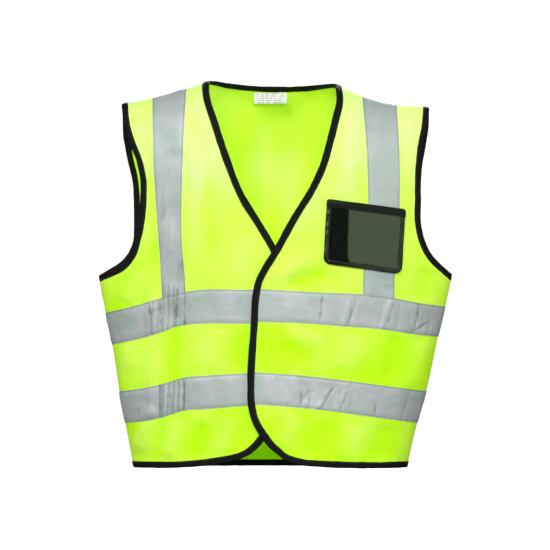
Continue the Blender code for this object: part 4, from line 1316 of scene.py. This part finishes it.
def make_fastener(name, kind):
    """A hook patch inside the left front or a loop patch outside the right one."""
    x, z = closure_places(CLOSURE_HEIGHTS[name], 0.001)
    rough = np.random.default_rng(81).uniform(0, ROUGHNESS[kind], x.shape)
    panel, sign = ("left", -1) if kind == "hook" else ("right", 1)
    lift = PATCH_LIFTS[kind]
    points, normals = on_cloth(x, z, panel, lift + rough)
    base = sheet_piece(f"{name}_{kind}_fastener", points, sign * normals, MATERIALS["fastener"], PATCH)
    follow(base, None, [f"{name}_{kind}_patch"], FOLD_BODIES[panel])
    x, z = closure_places(CLOSURE_HEIGHTS[name], 0.0016)
    x, z = x[1:-1, 1:-1].ravel(), z[1:-1, 1:-1].ravel()
    points, normals = on_cloth(x, z, panel, lift + sign * 0.0003)
    verts, faces = bristles(points, sign * normals, BRISTLES[kind], BRISTLE_LEAN)
    pile = new_piece(f"{name}_{kind}_pile", verts, faces, verts[:, [0, 2]], MATERIALS["fastener"])
    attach(pile, FOLD_BODIES[panel])
    return [base, pile]


LABEL_WIDTH = 0.051
LABEL_LENGTH = 0.0175
LABEL_TOP = (-0.0085, 0.0405, 0.5815)


def make_label():
    """A folded label, its two leaves a little apart at the bottom, hanging from the neck binding."""
    x, y, top = LABEL_TOP
    u, v = np.meshgrid(np.linspace(-0.5, 0.5, 40), np.linspace(0, 1, 30))
    leaf = np.minimum(v, 1 - v) * 2
    side = np.where(v < 0.5, -1, 1)
    curl = 0.0006 * np.cos(2 * math.pi * u) * leaf + 0.0006 * leaf ** 2
    closing = np.where(leaf < 0.94, 1, (1 - leaf) / 0.06)
    apart = 0.00045 * np.sin(math.pi * np.clip(leaf, 0, 1) * 0.5) * closing
    points = np.stack([x + u * LABEL_WIDTH, y - curl + side * (0.0002 + apart),
                       top - DROP - leaf * LABEL_LENGTH + 0 * u], -1)
    normals = unit(np.cross(np.gradient(points, axis=1), np.gradient(points, axis=0)))
    piece = sheet_piece("neck_label_tag", points, normals, MATERIALS["label"], 0.00022)
    return follow(piece, None, ["neck_label"], "neck_label")


# ---------------------------------------------------------------- the vest

def make_vest():
    panels = {side: make_panel(side, front_places(side)) for side in ("left", "right")}
    panels["back"] = make_panel("back", back_places())
    trims = {panel: [] for panel in panels}
    for panel in panels:
        for band in ("lower", "upper"):
            trims[panel] += make_band(panel, band)
    bindings = make_edge_bindings()
    for side in ("left", "right"):
        trims[side] += make_brace(side) + make_armhole(side) + bindings[f"{side}_edge_roll"]
    trims["back"] += bindings["neck_roll"] + make_back_hem()
    trims["left"] += make_pocket()
    for name in CLOSURE_HEIGHTS:
        trims["left"] += make_fastener(name, "hook")
        trims["right"] += make_fastener(name, "loop")
    return panels, trims, make_label()


panels, trims, label = make_vest()


# ---------------------------------------------------------------- studio

def white_surface(name, color, glow):
    p = Paint(name, Roughness=0.9, Specular_IOR_Level=0.0, Emission_Color=(1, 1, 1, 1),
              Emission_Strength=glow)
    grain = p.noise(p.place, 3.0, 2.0)
    p.feed(Base_Color=p.mix(grain, color, tuple(min(c * 1.01, 1.0) for c in color)))
    return p.material


def make_stage():
    """A round white floor that sends no light back onto the vest."""
    level, radius = -0.80, 60.0
    verts = [(0, 0, level)] + [(radius * math.cos(t), radius * math.sin(t), level)
                               for t in np.linspace(0, 2 * math.pi, 65)[:-1]]
    faces = [(0, k, k % 64 + 1) for k in range(1, 65)]
    made = new_piece("studio_floor", verts, faces, [v[:2] for v in verts],
                     white_surface("studio_white", (0.86, 0.86, 0.86, 1), 0.75))
    made.visible_diffuse = False
    made.visible_glossy = False
    made.visible_transmission = False
    made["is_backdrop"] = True


def add_light(kind, name, location, target, power, **settings):
    light = bpy.data.lights.new(name, kind)
    light.energy = power
    for key, value in settings.items():
        setattr(light, key, value)
    made = bpy.data.objects.new(name, light)
    made.location = location
    made.rotation_euler = (Vector(target) - Vector(location)).to_track_quat("-Z", "Y").to_euler()
    bpy.context.scene.collection.objects.link(made)
    return made


def make_world(seen, shed):
    """White air: as bright as seen to the camera, and as shed where it lights the vest."""
    world = bpy.data.worlds.new("studio_air")
    world.use_nodes = True
    nodes, links = world.node_tree.nodes, world.node_tree.links
    ray = nodes.new("ShaderNodeLightPath")
    strength = nodes.new("ShaderNodeMapRange")
    links.new(ray.outputs["Is Camera Ray"], strength.inputs["Value"])
    strength.inputs["To Min"].default_value = shed
    strength.inputs["To Max"].default_value = seen
    nodes["Background"].inputs["Color"].default_value = (1, 1, 1, 1)
    links.new(strength.outputs["Result"], nodes["Background"].inputs["Strength"])
    bpy.context.scene.world = world


def make_lights():
    middle = (0, 0, -0.30)
    box = {"shape": "RECTANGLE"}
    add_light("SUN", "sun", (-1.9, -4.4, 2.9), middle, 1.42, angle=math.radians(24))
    add_light("AREA", "fill", (0.3, -5.0, 1.0), middle, 98, size=1.8, size_y=1.2, **box)
    add_light("AREA", "window_box", (2.1, -2.4, -0.1), (0.12, -0.08, -0.24), 16, size=2.0, size_y=2.4, **box)
    add_light("AREA", "left_fill", (-3.2, -1.8, 1.0), middle, 32, size=1.0, size_y=1.4, **box)
    add_light("AREA", "right_fill", (3.2, -1.8, 1.3), middle, 37, size=1.0, size_y=1.4, **box)
    add_light("AREA", "back_fill", (0.8, 4.5, 2.4), middle, 230, size=1.8, size_y=1.2, **box)
    make_world(1.1, 0.07)


CAMERA_DISTANCE = 8.0
FRAME_WIDTH = 0.8525
SENSOR = 36.0


def make_camera():
    data = bpy.data.cameras.new("camera")
    data.sensor_width = SENSOR
    data.lens = SENSOR * CAMERA_DISTANCE / FRAME_WIDTH
    data.clip_end = 60
    made = bpy.data.objects.new("camera", data)
    made.location = (-0.0012, -CAMERA_DISTANCE, -0.2974)
    made.rotation_euler = (math.pi / 2, 0, 0)
    bpy.context.scene.collection.objects.link(made)
    bpy.context.scene.camera = made


make_stage()
make_lights()
make_camera()
bpy.context.scene.view_settings.view_transform = "Standard"

({name: [list(map(float, corner)) for corner in box]
           for name, box in (("cad", CAD_BOX), ("visual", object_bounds()))})
